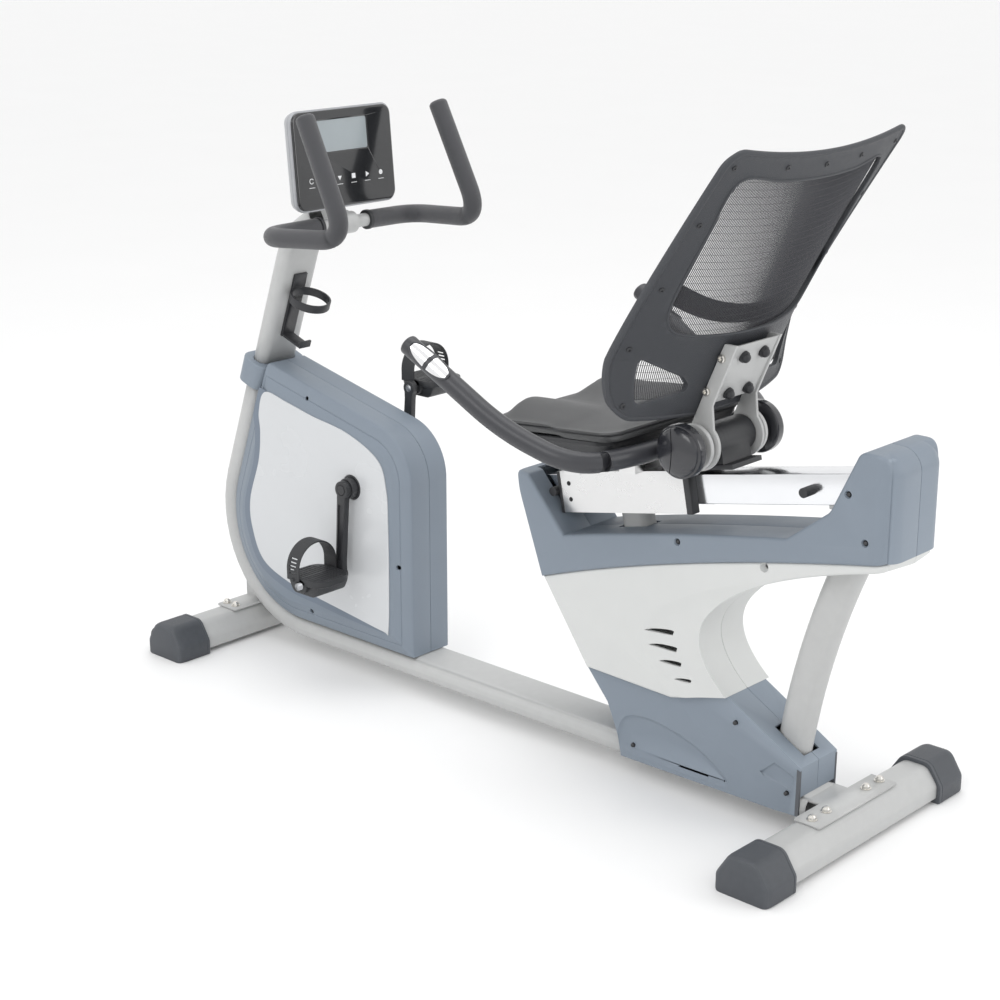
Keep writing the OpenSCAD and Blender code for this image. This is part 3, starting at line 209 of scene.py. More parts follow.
def corner(a, b, c, r, n):
    """The arc that rounds corner b of the flat path a-b-c."""
    a, b, c = (np.asarray(p, float)[:2] for p in (a, b, c))
    u, v = unit(a - b), unit(c - b)
    half = math.acos(np.clip(u @ v, -1, 1)) / 2
    centre = b + unit(u + v) * r / math.sin(half)
    p, q = b + u * r / math.tan(half), b + v * r / math.tan(half)
    a0, a1 = (math.atan2(*(s - centre)[::-1]) for s in (p, q))
    turn = (a1 - a0 + 5 * math.pi) % (2 * math.pi) - math.pi
    return [centre + polar(r, a0 + turn * i / n) for i in range(n + 1)]


def outline(points, n=8):
    """A closed outline from (x, y, radius) corners; radius 0 keeps a corner sharp."""
    made = []
    for i, b in enumerate(points):
        a, c = points[i - 1], points[(i + 1) % len(points)]
        made += [np.array(b[:2], float)] if b[2] == 0 else corner(a, b, c, b[2], n)
    return np.array(made)


def round_rect(w, h, r, n=8):
    return outline([(w / 2, -h / 2, r), (w / 2, h / 2, r), (-w / 2, h / 2, r), (-w / 2, -h / 2, r)], n)


def inset(line, d):
    """The anticlockwise outline moved inwards by d."""
    line = np.asarray(line, float)
    before = line - np.roll(line, 1, axis=0)
    after = np.roll(line, -1, axis=0) - line
    before /= np.linalg.norm(before, axis=1)[:, None]
    after /= np.linalg.norm(after, axis=1)[:, None]
    m = np.stack([-before[:, 1], before[:, 0]], 1)
    n = np.stack([-after[:, 1], after[:, 0]], 1)
    return line + (m + n) * d / (1 + (m * n).sum(1))[:, None]


def anticlockwise(line):
    line = np.asarray(line, float)
    x, y = line[:, 0], line[:, 1]
    area = (x * np.roll(y, -1) - y * np.roll(x, -1)).sum()
    return line if area > 0 else line[::-1]


def spaced(line, step, closed=False):
    """The same line with points about step apart."""
    line = [np.asarray(p, float) for p in line]
    pairs = list(zip(line, line[1:] + (line[:1] if closed else [])))
    made = []
    for a, b in pairs:
        k = max(1, int(np.linalg.norm(b - a) / step))
        made += [a + (b - a) * i / k for i in range(k)]
    return np.array(made if closed else made + [line[-1]])


def new_piece(name, bm, finish, body, stands_for=(), sharp=35):
    """Turns a bmesh into a piece that rides on a CAD body, with the finish as its material, and hides the CAD
    parts it stands for.
    """
    bmesh.ops.recalc_face_normals(bm, faces=bm.faces)
    bmesh.ops.scale(bm, vec=(MM, MM, MM), verts=bm.verts)
    mesh = bpy.data.meshes.new(name)
    bm.to_mesh(mesh)
    bm.free()
    mesh.shade_smooth()
    mesh.set_sharp_from_angle(angle=math.radians(sharp))
    piece = bpy.data.objects.new(name, mesh)
    bpy.context.scene.collection.objects.link(piece)
    mesh.materials.append(FINISHES[finish])
    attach(piece, body)
    if stands_for:
        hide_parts(*stands_for)
    return piece


def add_rings(bm, rings, close=True):
    """Skins a row of rings of points, and closes both ends with a face."""
    made = [[bm.verts.new(p) for p in ring] for ring in rings]
    count = len(made[0])
    for low, high in zip(made, made[1:]):
        for j in range(count):
            k = (j + 1) % count
            bm.faces.new((low[j], low[k], high[k], high[j]))
    if close:
        bm.faces.new(made[0][::-1])
        bm.faces.new(made[-1])


def lofted(bm, line, layers, matrix=Matrix()):
    """Skins a side-view outline, moved inwards by d at each y of the (d, y) layers."""
    add_rings(bm, [[matrix @ Vector((p[0], y, p[1])) for p in inset(line, d)] for d, y in layers])


def loop_tube(bm, path, r, sides, away):
    """A closed tube along a loop of points; away(p) is any direction that leaves the loop's line at p."""
    around = path[-1:] + path + path[:1]
    rings = []
    for before, p, after in zip(around, around[1:], around[2:]):
        t = unit(after - before)
        u = unit(np.cross(t, away(p)))
        w = np.cross(t, u)
        rings.append([p + r * (math.cos(a) * u + math.sin(a) * w)
                for a in turns(sides)])
    add_rings(bm, rings + rings[:1], close=False)
    bmesh.ops.remove_doubles(bm, verts=bm.verts, dist=0.001)


def tube_frames(path, ref):
    path = np.asarray(path, float)
    steps = path[1:] - path[:-1]
    steps /= np.linalg.norm(steps, axis=1)[:, None]
    along = np.vstack([steps[:1], steps[1:] + steps[:-1], steps[-1:]])
    along /= np.linalg.norm(along, axis=1)[:, None]
    side = np.cross(along, ref)
    side /= np.linalg.norm(side, axis=1)[:, None]
    return path, along, side, np.cross(side, along)


def tube_rings(path, radius, ref, sides=36, round_ends=(0, 0)):
    """Rings of a round tube; round_ends are the fillet radii of its two ends."""
    path, along, side, up = tube_frames(path, ref)
    angles = turns(sides)
    shape = np.outer(np.cos(angles), [1, 0]) + np.outer(np.sin(angles), [0, 1])

    def ring(i, shift, r):
        return path[i] + along[i] * shift + r * (shape[:, :1] * side[i] + shape[:, 1:] * up[i])

    rings = []
    if round_ends[0]:
        f = round_ends[0]
        rings += [ring(0, f - f * math.sin(a), radius - f + f * math.cos(a))
            for a in np.linspace(math.pi / 2, 0.25, 4)]
        rings += [ring(0, f, radius)]
    else:
        rings += [ring(0, 0, radius)]
    rings += [ring(i, 0, radius) for i in range(1, len(path) - 1)]
    if round_ends[1]:
        f = round_ends[1]
        rings += [ring(-1, -f, radius)]
        rings += [ring(-1, f * math.sin(a) - f, radius - f + f * math.cos(a))
            for a in np.linspace(0.25, math.pi / 2, 4)]
    else:
        rings += [ring(-1, 0, radius)]
    return rings


def revolved(bm, centre, profile, sides=48):
    """A solid turned about the Y axis through centre (x, z), from (y, radius) points."""
    angles = turns(sides)
    add_rings(bm,
        [[(centre[0] + r * math.cos(a), y, centre[1] + r * math.sin(a)) for a in angles] for y, r in profile])


def both_ends(bm, centre, profile, sides):
    """A turned solid and its mirror image on the other side."""
    for s in (1, -1):
        revolved(bm, centre, [(s * y, r) for y, r in profile], sides)


def box_solid(bm, low, high, edge=0.0, matrix=None):
    """A cuboid with rounded edges."""
    made = bmesh.ops.create_cube(bm, size=1)["verts"]
    low, high = Vector(low), Vector(high)
    for v in made:
        v.co = Vector([(low[i] + high[i]) / 2 + v.co[i] * (high[i] - low[i]) for i in range(3)])
    if edge:
        edges = list({e for v in made for e in v.link_edges})
        out = bmesh.ops.bevel(bm, geom=edges, offset=edge, segments=3, affect="EDGES", profile=0.5)
        made = list({v for f in out["faces"] for v in f.verts} | {v for v in made if v.is_valid})
    if matrix is not None:
        bmesh.ops.transform(bm, matrix=matrix, verts=made)


def carve(bm, cutter, tangled=False):
    """Cuts the cutter's solids out of bm and returns what is left; tangled if they cross each other."""
    pair = []
    for b in (bm, cutter):
        bmesh.ops.recalc_face_normals(b, faces=b.faces)
        mesh = bpy.data.meshes.new("cut")
        b.to_mesh(mesh)
        b.free()
        pair.append(bpy.data.objects.new("cut", mesh))
        bpy.context.scene.collection.objects.link(pair[-1])
    change = pair[0].modifiers.new("cut", "BOOLEAN")
    change.operation = "DIFFERENCE"
    change.solver = "EXACT"
    change.use_self = tangled
    change.object = pair[1]
    left = bmesh.new()
    left.from_object(pair[0], bpy.context.evaluated_depsgraph_get())
    for o in pair:
        bpy.data.objects.remove(o)
    return left


def prism(bm, line, y0, y1):
    """A side-view outline made solid from y0 to y1."""
    add_rings(bm, [[(p[0], y, p[1]) for p in anticlockwise(line)] for y in (y0, y1)])


def sided(bm, side):
    """The shape as drawn on the rider's left, side -1, or its mirror image on the right."""
    if side > 0:
        bmesh.ops.scale(bm, vec=(1, -1, 1), verts=bm.verts)
        bmesh.ops.reverse_faces(bm, faces=bm.faces)
    return bm


SIDES = ((-1, "left"), (1, "right"))


def smooth_line(points, n=8, closed=True):
    """A Catmull-Rom curve through the points."""
    p = [np.array(q, float) for q in points]
    k = len(p)
    made = []
    for i in range(k if closed else k - 1):
        a, b, c, d = (p[(i + j) % k] if closed else p[min(max(i + j, 0), k - 1)] for j in (-1, 0, 1, 2))
        for t in np.linspace(0, 1, n, endpoint=False):
            made.append(0.5 * (2 * b + (c - a) * t + (2 * a - 5 * b + 4 * c - d) * t * t
                    + (3 * b - a - 3 * c + d) * t ** 3))
    return np.array(made if closed else made + [p[-1]])


def round_plan(bm, x0, y0, sign=1):
    """Rounds the upright corners beyond x0 and y0 in plan, keeping the shell's wall."""
    for v in bm.verts:
        dx, dy = sign * (v.co.x - x0), abs(v.co.y) - y0
        if dx > 0 and dy > 0:
            keep = max(dx, dy) / math.hypot(dx, dy)
            v.co.x = x0 + sign * dx * keep
            v.co.y = math.copysign(y0 + dy * keep, v.co.y)


def slice_at(bm, axis, values):
    for value in values:
        at, normal = [0, 0, 0], [0, 0, 0]
        at[axis], normal[axis] = value, 1
        bmesh.ops.bisect_plane(bm, geom=bm.verts[:] + bm.edges[:] + bm.faces[:], plane_co=at, plane_no=normal)


# ---- Front cover ----
FRONT, REAR = -800.0, 800.0
LEAN = math.radians(20)
FRONT_R, TUBE_T, BEAM_Z = 214.0, 42.0, 48.0
BEND = np.array([FRONT + FRONT_R + TUBE_T / 2, BEAM_Z + FRONT_R])
BEAM_TOP = BEAM_Z + TUBE_T / 2
LEAN_START = BEND + FRONT_R * np.array([-math.cos(LEAN), math.sin(LEAN)])
LEAN_DIR = np.array([math.sin(LEAN), math.cos(LEAN)])
COVER_R = FRONT_R - TUBE_T / 2 - 1
COVER_REAR, COVER_LOW, COVER_TOP = FRONT + 555, BEAM_TOP + 1, 588.0
cover_front = BEND + COVER_R * np.array([-math.cos(LEAN), math.sin(LEAN)])
cover_front = cover_front + (COVER_TOP - cover_front[1]) * np.array([math.tan(LEAN), 1])
cover_rear = np.array([COVER_REAR, COVER_TOP - (COVER_REAR - cover_front[0]) * math.tan(math.radians(13))])
cover_line = np.array([(COVER_REAR, COVER_LOW)]
    + corner((COVER_REAR, COVER_LOW), cover_rear, cover_front, 105, 24)
    + corner(cover_rear, cover_front, LEAN_START, 14, 8)
    + [BEND + polar(COVER_R, a)
        for a in np.radians(np.linspace(160, 269.9, 40))]
    + [(BEND[0], COVER_LOW)])
cover_line = anticlockwise(cover_line)
CRANK = np.array([FRONT + 410, 386.0])
cover_screws = [CRANK + p for p in ((-252, -34), (-130, -286), (118, -136), (-130, 150))]


def cover_ring(d, y, count=900):
    """The cover's outline moved inwards by d, as a ring at y."""
    middle = np.array([-560.0, 300.0])
    a, b = cover_line, np.roll(cover_line, -1, axis=0)
    along = (b - a) / np.linalg.norm(b - a, axis=1)[:, None]
    out = np.stack([along[:, 1], -along[:, 0]], 1)
    reach = ((a - middle) * out).sum(1) - d
    angles = turns(count)
    ring = []
    for angle in angles:
        u = polar(1, angle)
        face = out @ u
        r = np.min(np.where(face > 1e-6, reach / np.maximum(face, 1e-6), 1e9))
        ring.append((middle[0] + r * u[0], y, middle[1] + r * u[1]))
    return ring


COVER_PROFILE = [(40, -59), (37, -58.6), (3, -45.2), (3, -0.35), (0.9, -0.35), (0.2, -0.8), (0, -1.6),
    (0, -43), (0.3, -45.4), (1.1, -47.2), (2.6, -48.6), (4.5, -49.6), (21.5, -55.6), (22.1, -55.5),
    (22.9, -54.9), (23.7, -55.6), (24.4, -56.7), (35, -60.7), (37, -61.4), (39, -61.85), (41, -62)]
PANEL = [(-634, 531), (-654, 488), (-652, 445), (-660, 386), (-690, 300), (-686, 238), (-655, 178),
    (-580, 148), (-496, 136), (-408, 125), (-312, 113), (-297, 118), (-293, 220), (-293, 330), (-296, 397),
    (-318, 453), (-400, 490), (-496, 506), (-570, 521)]
for side, tag in SIDES:
    shell = bmesh.new()
    add_rings(shell, [cover_ring(d, y) for d, y in COVER_PROFILE])
    holes = bmesh.new()
    revolved(holes, CRANK, [(-70, 24), (-50, 24)], 64)
    for p in cover_screws:
        revolved(holes, p, [(-70, 9), (-61.5, 6.2), (-54.5, 4.2), (-40, 4.0)], 32)
    shell = carve(shell, holes)
    box = bmesh.new()
    box_solid(box, (BEND[0] - 30, -45, COVER_LOW - 2), (COVER_REAR - 3, 5, COVER_LOW + 8))
    shell = carve(shell, box)
    box = bmesh.new()
    at = LEAN_START + 213 * LEAN_DIR
    box_solid(box, (-68, -63, 0), (35, 2, 104),
        matrix=Matrix.Translation((at[0], 0, at[1])) @ Matrix.Rotation(LEAN, 4, "Y"))
    shell = carve(shell, box)
    new_piece("cover_shell_" + tag, sided(shell, side), "blue_shell", "frame", ["cover_" + tag],
        sharp=28)
    plate = bmesh.new()
    panel = anticlockwise(smooth_line(PANEL, 8))
    layers = [(0.2, -62.1), (0.0, -62.3), (0.0, -63.6), (0.3, -64.1), (0.9, -64.45), (1.6, -64.5)]
    lofted(plate, panel, layers)
    hole = bmesh.new()
    revolved(hole, CRANK, [(-70, 27), (-64.5, 25), (-63.5, 24.2), (-58, 24.2)], 64)
    plate = carve(plate, hole)
    new_piece("side_panel_" + tag, sided(plate, side), "side_panel", "frame", ["panel_" + tag])
    band = bmesh.new()
    wide = [np.array(p, float) for p in PANEL[:12]]
    outer = [p + np.array([-17, -4]) for p in wide[:6]] + [wide[6] + (-13, -13), wide[7] + (-5, -17),
        wide[8] + (0, -15), wide[9] + (0, -12), wide[10] + (0, -3)]
    outer[0] = wide[0] + np.array([-17, 6])
    strip = np.vstack([smooth_line(outer, 8, False), smooth_line(wide[:11], 8, False)[::-1]
            + np.array([3, 3])])
    prism(band, strip, -61.9, -62.7)
    new_piece("panel_band_" + tag, sided(band, side), "blue_band", "frame")
    ring = bmesh.new()
    revolved(ring, CRANK, [(-64.9, 17), (-65.4, 18), (-65.4, 22.6), (-64.6, 23.6), (-58, 23.6), (-58, 17)],
        64)
    new_piece("crank_seal_" + tag, sided(ring, side), "black_plastic", "frame")

# ---- Rear shroud ----
RAIL_X, RAIL_Z, RAIL_A = REAR - 730, 497.0, math.radians(11.5)
RAIL_FRAME = Matrix.Translation((RAIL_X, 0, RAIL_Z)) @ Matrix.Rotation(-RAIL_A, 4, "Y")


def rail_point(u, w):
    return np.array([RAIL_X + u * math.cos(RAIL_A) - w * math.sin(RAIL_A),
            RAIL_Z + u * math.sin(RAIL_A) + w * math.cos(RAIL_A)])


seam_a, seam_b, seam_c = ((REAR + x, z) for x, z in ((-698, 327), (-400, 435), (0, 508)))
seam_line = bezier(seam_a, seam_b, seam_c, 40)
horn = (REAR - 766, 512)
top_line = np.array(seam_line
    + corner(seam_c, (REAR, 676), (REAR - 63, 676), 36, 12)
    + corner((REAR, 676), (REAR - 63, 676), (REAR - 112, 572), 18, 8)
    + corner((REAR - 63, 676), (REAR - 112, 572), (REAR - 166, 516), 40, 8)
    + bezier((REAR - 190, 511), (REAR - 470, 462), (REAR - 648, 414), 24)
    + corner((REAR - 660, 411), (REAR - 730, 508), horn, 8, 8)
    + corner((REAR - 730, 508), horn, seam_a, 10, 8))
mid_low = [np.array((REAR + x, z), float) for x, z in ((-596, 183), (-411, 178), (-303, 206))]
waist = np.array((REAR - 337, 350.0))
mid_line = np.array(mid_low[:2] + bezier(mid_low[2], (REAR - 398, 285), waist, 24)
    + bezier(waist + (3, 3.2), (REAR - 258, 436), (REAR - 4, 495), 30) + seam_line[::-1])
low_line = np.array([(REAR - 607, 181), (REAR - 558, 125), (REAR - 534, 69), (REAR - 526, 32),
        (REAR - 157, 36), (REAR - 156, 122), (REAR - 222, 160), mid_low[2] + (0, -.3), mid_low[1] + (0, -.3),
        mid_low[0] + (0, -.3)])
ARCH_R, ARCH_T = 1350.0, 60.0
ARCH_C = np.array([REAR - 210, BEAM_TOP]) + ARCH_R * np.array([math.cos(math.radians(5)),
        -math.sin(math.radians(5))])


def hollow_half(line, y, fillet, side_wall=3.0, wall=3.0, seam=0.35):
    """Half of a shell with rounded outer edges and a fine groove along the middle seam."""
    line = anticlockwise(line)
    profile = [(wall + fillet * 0.5, -y + side_wall), (wall, -y + side_wall + fillet * 0.6), (wall, -seam),
        (0.8, -seam), (0.2, -seam - 0.5), (0, -seam - 1.2)]
    profile += [(fillet * (1 - math.cos(a)), -y + fillet * (1 - math.sin(a)))
        for a in np.linspace(0, math.pi / 2, 7)]
    bm = bmesh.new()
    lofted(bm, line, profile)
    return bm


def frame_cutters(bm, rail=False):
    """Room for the arch, the seat post, and the rail."""
    r = ARCH_T / 2 + 2
    arc = [ARCH_C + (ARCH_R + r) * np.array([-math.cos(a), math.sin(a)])
        for a in np.radians(np.linspace(3, 30, 20))]
    arc += [ARCH_C + (ARCH_R - r) * np.array([-math.cos(a), math.sin(a)])
        for a in np.radians(np.linspace(30, 3, 20))]
    prism(bm, arc, -22, 5)
    post = Matrix.Translation((REAR - 440, 0, BEAM_Z)) @ Matrix.Rotation(math.radians(-14), 4, "Y")
    box_solid(bm, (-32, -22, 0), (32, 6, 440), matrix=post)
    if rail:
        box_solid(bm, (-10, -35, -61), (705, 7, 5), matrix=RAIL_FRAME)
        box_solid(bm, (-10.1, -35.1, -1), (110, 8, 80), matrix=RAIL_FRAME)


def step_cutter(line, far, layers):
    """What lies between a curve and two far corners, the curve moved across by d at each y of (d, y) layers."""
    run = np.gradient(line, axis=0)
    run /= np.linalg.norm(run, axis=1)[:, None]
    aside = np.stack([-run[:, 1], run[:, 0]], 1)
    cutter = bmesh.new()
    add_rings(cutter, [[(p[0], y, p[1]) for p in np.vstack([line + aside * d, far])] for d, y in layers])
    return cutter


def screw_wells(bm, points, y):
    for p in points:
        revolved(bm, p, [(-y - 8, 9), (-y + 0.3, 6.4), (-y + 3.5, 4.3), (-y + 12, 4.1)], 32)


top_screws = [(REAR - 401, 458), (REAR - 80, 606), (REAR - 46, 536)]
low_screws = [(REAR - 500, 60), (REAR - 286, 165), (REAR - 180, 72)]
for side, tag in SIDES:
    top = hollow_half(top_line, 75, 6)
    slice_at(top, 0, np.linspace(765, 799, 14))
    slice_at(top, 1, np.linspace(-71, -42, 7))
    round_plan(top, 765, 40)
    slice_at(top, 0, np.linspace(37, 54, 6))
    round_plan(top, 54, 58, -1)
    cutter = bmesh.new()
    frame_cutters(cutter, rail=True)
    top = carve(top, cutter, True)
    cutter = bmesh.new()
    screw_wells(cutter, top_screws, 75)
    top = carve(top, cutter)
    new_piece("shroud_top_" + tag + "_shell", sided(top, side), "blue_shell", "frame",
        ["shroud_top_" + tag], sharp=32)
    mid = hollow_half(mid_line, 70, 5, 13)
    sweep_edge = smooth_line([(760, 490), (674, 463), (566, 430), (452, 386), (372, 343), (331, 304),
            (323, 262), (349, 219), (402, 186), (440, 150)], 8, False)
    slice_at(mid, 0, np.linspace(765, 798, 12))
    round_plan(mid, 765, 35)
    mid = carve(mid, step_cutter(sweep_edge, [(950, 100), (950, 560)],
            ((-4, -72), (0, -70), (4, -69), (9, -67.4), (15, -65.4), (22, -63.6), (30, -62.2),
            (38, -61.4))), True)
    cutter = bmesh.new()
    frame_cutters(cutter)
    for tip, end, thick in (((330, 285), (384, 291), 9), ((338, 260), (392, 263), 9),
        ((360, 236), (402, 239), 8), ((393, 212), (424, 215), 6)):
        a, b = np.array(tip, float), np.array(end, float)
        leaf = smooth_line([a, a + (b - a) * .4 + (0, thick * .45), b + (0, thick * .5), b
                + (1.5, -thick * .1), b + (-2, -thick * .5), a + (b - a) * .4 + (0, -thick * .35)], 6)
        prism(cutter, leaf, -80, -40)
    screw_wells(cutter, [(REAR - 231, 453)], 64)
    mid = carve(mid, cutter, True)
    new_piece("shroud_mid_" + tag + "_shell", sided(mid, side), "pale_shell", "frame",
        ["shroud_mid_" + tag], sharp=30)
    low = hollow_half(low_line, 58, 4, 11)
    cutter = bmesh.new()
    leaf = anticlockwise(smooth_line([(268, 66), (282, 108), (330, 121), (400, 112), (455, 92), (498, 64),
            (505, 50), (470, 44), (300, 46)], 8))
    lofted(cutter, leaf, ((-3, -60), (0, -58), (2, -56.2), (5, -54.6), (9, -53.6)))
    low = carve(low, cutter, True)
    ridge = smooth_line([(380, 200), (398, 170), (430, 140), (476, 116), (528, 96), (570, 66), (590, 20)], 8,
        False)
    low = carve(low, step_cutter(ridge, [(800, -20), (800, 260)],
            ((-4, -60), (0, -58), (5, -57), (12, -55.6), (24, -53.8), (40, -52.4))), True)
    cutter = bmesh.new()
    facet = anticlockwise([(566, 92), (628, 78), (634, 104), (592, 118)])
    lofted(cutter, facet, ((-2, -54.5), (0, -52.4), (3, -50.4), (6, -49.6)))
    frame_cutters(cutter)
    box_solid(cutter, (REAR - 640, -51, -5), (REAR - 40, 8, BEAM_TOP + 1))
    low = carve(low, cutter, True)
    cutter = bmesh.new()
    screw_wells(cutter, low_screws, 58)
    low = carve(low, cutter)
    new_piece("shroud_low_" + tag + "_shell", sided(low, side), "blue_shell", "frame",
        ["shroud_low_" + tag], sharp=30)
    edge = bmesh.new()
    prism(edge, [(REAR - 163, 37), (REAR - 156.4, 37), (REAR - 155.6, 117), (REAR - 162, 119)], -53.4, -49)
    new_piece("shroud_edge_" + tag, sided(edge, side), "foot_cap", "frame")

# ---- Backrest ----
HUB = rail_point(374, 53.5)
BACK_LOW, BACK_H, BACK_W = HUB[1] + 68, 412.0, 490.0


def back_at(t, s, d):
    mid = HUB[0] - 14 + 192 * t
    if t < 0.22:
        wing = HUB[0] - 50 - 6 * math.sin(math.pi * max(t, 0) / 0.22)
    else:
        wing = HUB[0] - 50 + 218 * ((t - 0.22) / 0.78) ** 1.08
    half = BACK_W / 2 * (1 - 0.055 * t - 0.10 * max(0, 1 - t / 0.22) ** 2)
    return (mid - (mid - wing) * s * s + d, half * s, BACK_LOW + BACK_H * t
        + 22 * s * s * t - 16 * (1 - s * s) * (1 - t))


def back_sheet(loops, d0, d1, step=11):
    """A plate that follows the backrest: loops are its outline and its windows, in mm across and up."""
    bm = bmesh.new()
    edges = []
    for loop in loops:
        ring = [bm.verts.new((p[0], p[1], 0)) for p in loop]
        edges += [bm.edges.new((ring[i], ring[(i + 1) % len(ring)])) for i in range(len(ring))]
    bmesh.ops.triangle_fill(bm, use_beauty=True, use_dissolve=False, edges=edges)
    slice_at(bm, 0, np.arange(-240, 241, step))
    slice_at(bm, 1, np.arange(5, 412, step))
    bmesh.ops.remove_doubles(bm, verts=bm.verts, dist=0.01)
    bm.verts.index_update()
    made = bmesh.new()
    layers = [[made.verts.new(back_at(v.co.y / BACK_H, v.co.x / (BACK_W / 2), d)) for v in bm.verts]
        for d in (d0, d1)]
    for face in bm.faces:
        ids = [v.index for v in face.verts]
        made.faces.new([layers[0][i] for i in ids])
        made.faces.new([layers[1][i] for i in ids[::-1]])
    for a, b in ([v.index for v in e.verts] for e in bm.edges if len(e.link_faces) == 1):
        made.faces.new((layers[0][a], layers[0][b], layers[1][b], layers[1][a]))
    bm.free()
    return made


back_outline = outline([(-245, 0, 30), (245, 0, 30), (245, 412, 26), (-245, 412, 26)], 8)
back_outline = spaced(back_outline, 11, closed=True)
main_window = spaced(smooth_line([(-198, 372), (-100, 374), (0, 374), (100, 374), (198, 372), (202, 290),
        (200, 196), (188, 154), (156, 136), (80, 132), (0, 132), (-80, 132), (-156, 136), (-188, 154),
        (-200, 196), (-202, 290)], 6), 11, closed=True)
low_window = outline([(-202, 22, 8), (-96, 44, 8), (-118, 66, 12), (-202, 98, 6)], 5)
loops = [back_outline, main_window, low_window, low_window * (-1, 1)]
sheet = back_sheet(loops, 0, 9)
new_piece("backrest_shell", sheet, "back_plastic", "backrest", ["backrest_frame"], sharp=50)
lip = bmesh.new()
for edge_line, r in ((back_outline, 4.6), (main_window, 2.6)):
    path = [np.array(back_at(p[1] / BACK_H, p[0] / (BACK_W / 2) * 0.985, 6 if r > 4 else 8))
        for p in edge_line]
    loop_tube(lip, path, r, 12, lambda p: (1, 0, 0))
new_piece("backrest_lip", lip, "back_plastic", "backrest", sharp=60)


def stud(bm, at, out, r, h, sides=20):
    """A low domed head standing on a surface at a point."""
    out = unit(out)
    u = unit(np.cross(out, (0.3, 1, 0.2)))
    w = np.cross(out, u)
    rings = [[np.array(at) + out * hh + rr * (math.cos(a) * u + math.sin(a) * w)
            for a in turns(sides)]
        for rr, hh in ((r, -1.5), (r, h * .2), (r * .93, h * .6), (r * .75, h * .85), (r * .4, h),
            (r * .38, h * .55), (r * .05, h * .5))]
    add_rings(bm, rings)


studs = bmesh.new()
for t, s in [(t, s) for t in (.05, .27, .50, .74, .945) for s in (-.915, .915)] + [(.955, -.42), (.955, 0),
    (.955, .42)]:
    a, b, c = (np.array(back_at(t + dt, s + ds, 9)) for dt, ds in ((0, 0), (.01, 0), (0, .01)))
    normal = unit(np.cross(c - a, b - a))
    normal = normal if normal[0] > 0 else -normal
    stud(studs, a, normal, 4.6, 2.2)
new_piece("backrest_screws", studs, "black_plastic", "backrest")

net = bmesh.new()
THREAD, COLUMN, ROW = 0.9, 3.4, 11.0


def thread(points, offset, r=THREAD):
    path = np.array(points) + np.array([offset, 0, 0])
    _, _, side_dir, up = tube_frames(path, (1, 0.02, 0.01))
    rings = [[path[i] + r * (c * side_dir[i] + s * up[i]) for c, s in ((1, 0), (0, 1), (-1, 0), (0, -1))]
        for i in range(len(path))]
    add_rings(net, rings)


for x in np.arange(-203, 204, COLUMN):
    thread([back_at(t, x / 245, -1) for t in np.linspace(0.07, 0.935, 36)], 0.0)
for v in np.arange(30, 386, ROW):
    thread([back_at(v / BACK_H, s, -1) for s in np.linspace(-0.835, 0.835, 36)], 0.5, 0.3)
net_piece = new_piece("backrest_net", net, "mesh_cloth", "backrest", ["backrest_mesh"], sharp=180)
grid = np.array([[back_at(t, s, -1) for s in np.linspace(-0.835, 0.835, 41)]
        for t in np.linspace(0.07, 0.935, 41)]) * MM
across = np.linalg.norm(np.diff(grid, axis=1), axis=2)
strap = back_sheet([spaced(np.vstack([smooth_line([(-205, 222), (-110, 190), (0, 176), (110, 190),
        (205, 222)], 6, False),
        smooth_line([(205, 190), (110, 158), (0, 145), (-110, 158), (-205, 190)], 6, False)]),
        11, closed=True)], -4.6, -2.4)
new_piece("lumbar_strap", strap, "mesh_cloth", "backrest")

# ---- Seat ----
PAN_FRAME = Matrix.Translation((80, 0, 566)) @ Matrix.Rotation(-math.radians(6), 4, "Y")
SEAT_W, SEAT_L, PAN_T = 396.0, 290.0, 44.0


def seat_plan(w, l, r, n=10):
    return spaced(outline([(0, -w / 2 + 12, r), (l, -w / 2, r / 2), (l, w / 2, r / 2), (0, w / 2 - 12, r)],
            n), 9, True)


def seat_top(x, y):
    """Height of the cushion's top: two thigh lobes, a valley between them, and a dip towards the rear."""
    s = abs(y) / (SEAT_W / 2)
    lobe = math.exp(-((s - 0.50) / 0.30) ** 2)
    rise = 1 - 0.75 * ease(x / SEAT_L)
    return 17 + 23 * lobe * rise - 7 * ease((s - 0.8) / 0.2)


cushion = bmesh.new()
plan = seat_plan(SEAT_W - 8, SEAT_L - 8, 56) + (4, 0)
centre = np.array([SEAT_L / 2, 0.0])
rings = []
for grow, z in ((0.93, 0.5), (0.975, 2), (0.99, 6), (0.996, 11), (0.985, 12.6), (0.980, 13.2), (0.988, 14.0),
    (1.0, 16)):
    rings.append([PAN_FRAME @ Vector((*(centre + (p - centre) * grow - (4, 0)), PAN_T + z)) for p in plan])
for grow in (0.995, 0.98, 0.96, 0.93, 0.89, 0.84, 0.78, 0.71, 0.63, 0.54, 0.45, 0.36, 0.27, 0.18, 0.09, 0.03):
    ring = []
    for p in plan:
        q = centre + (p - centre) * grow
        top = seat_top(q[0], q[1])
        low = 18.5
        ring.append(PAN_FRAME @ Vector((q[0] - 4, q[1], PAN_T + low + (top - low) * ease((1 - grow) / 0.16))))
    rings.append(ring)
add_rings(cushion, rings)
cushion_piece = new_piece("cushion", cushion, "seat_vinyl", "seat", ["seat_cushion"], sharp=70)


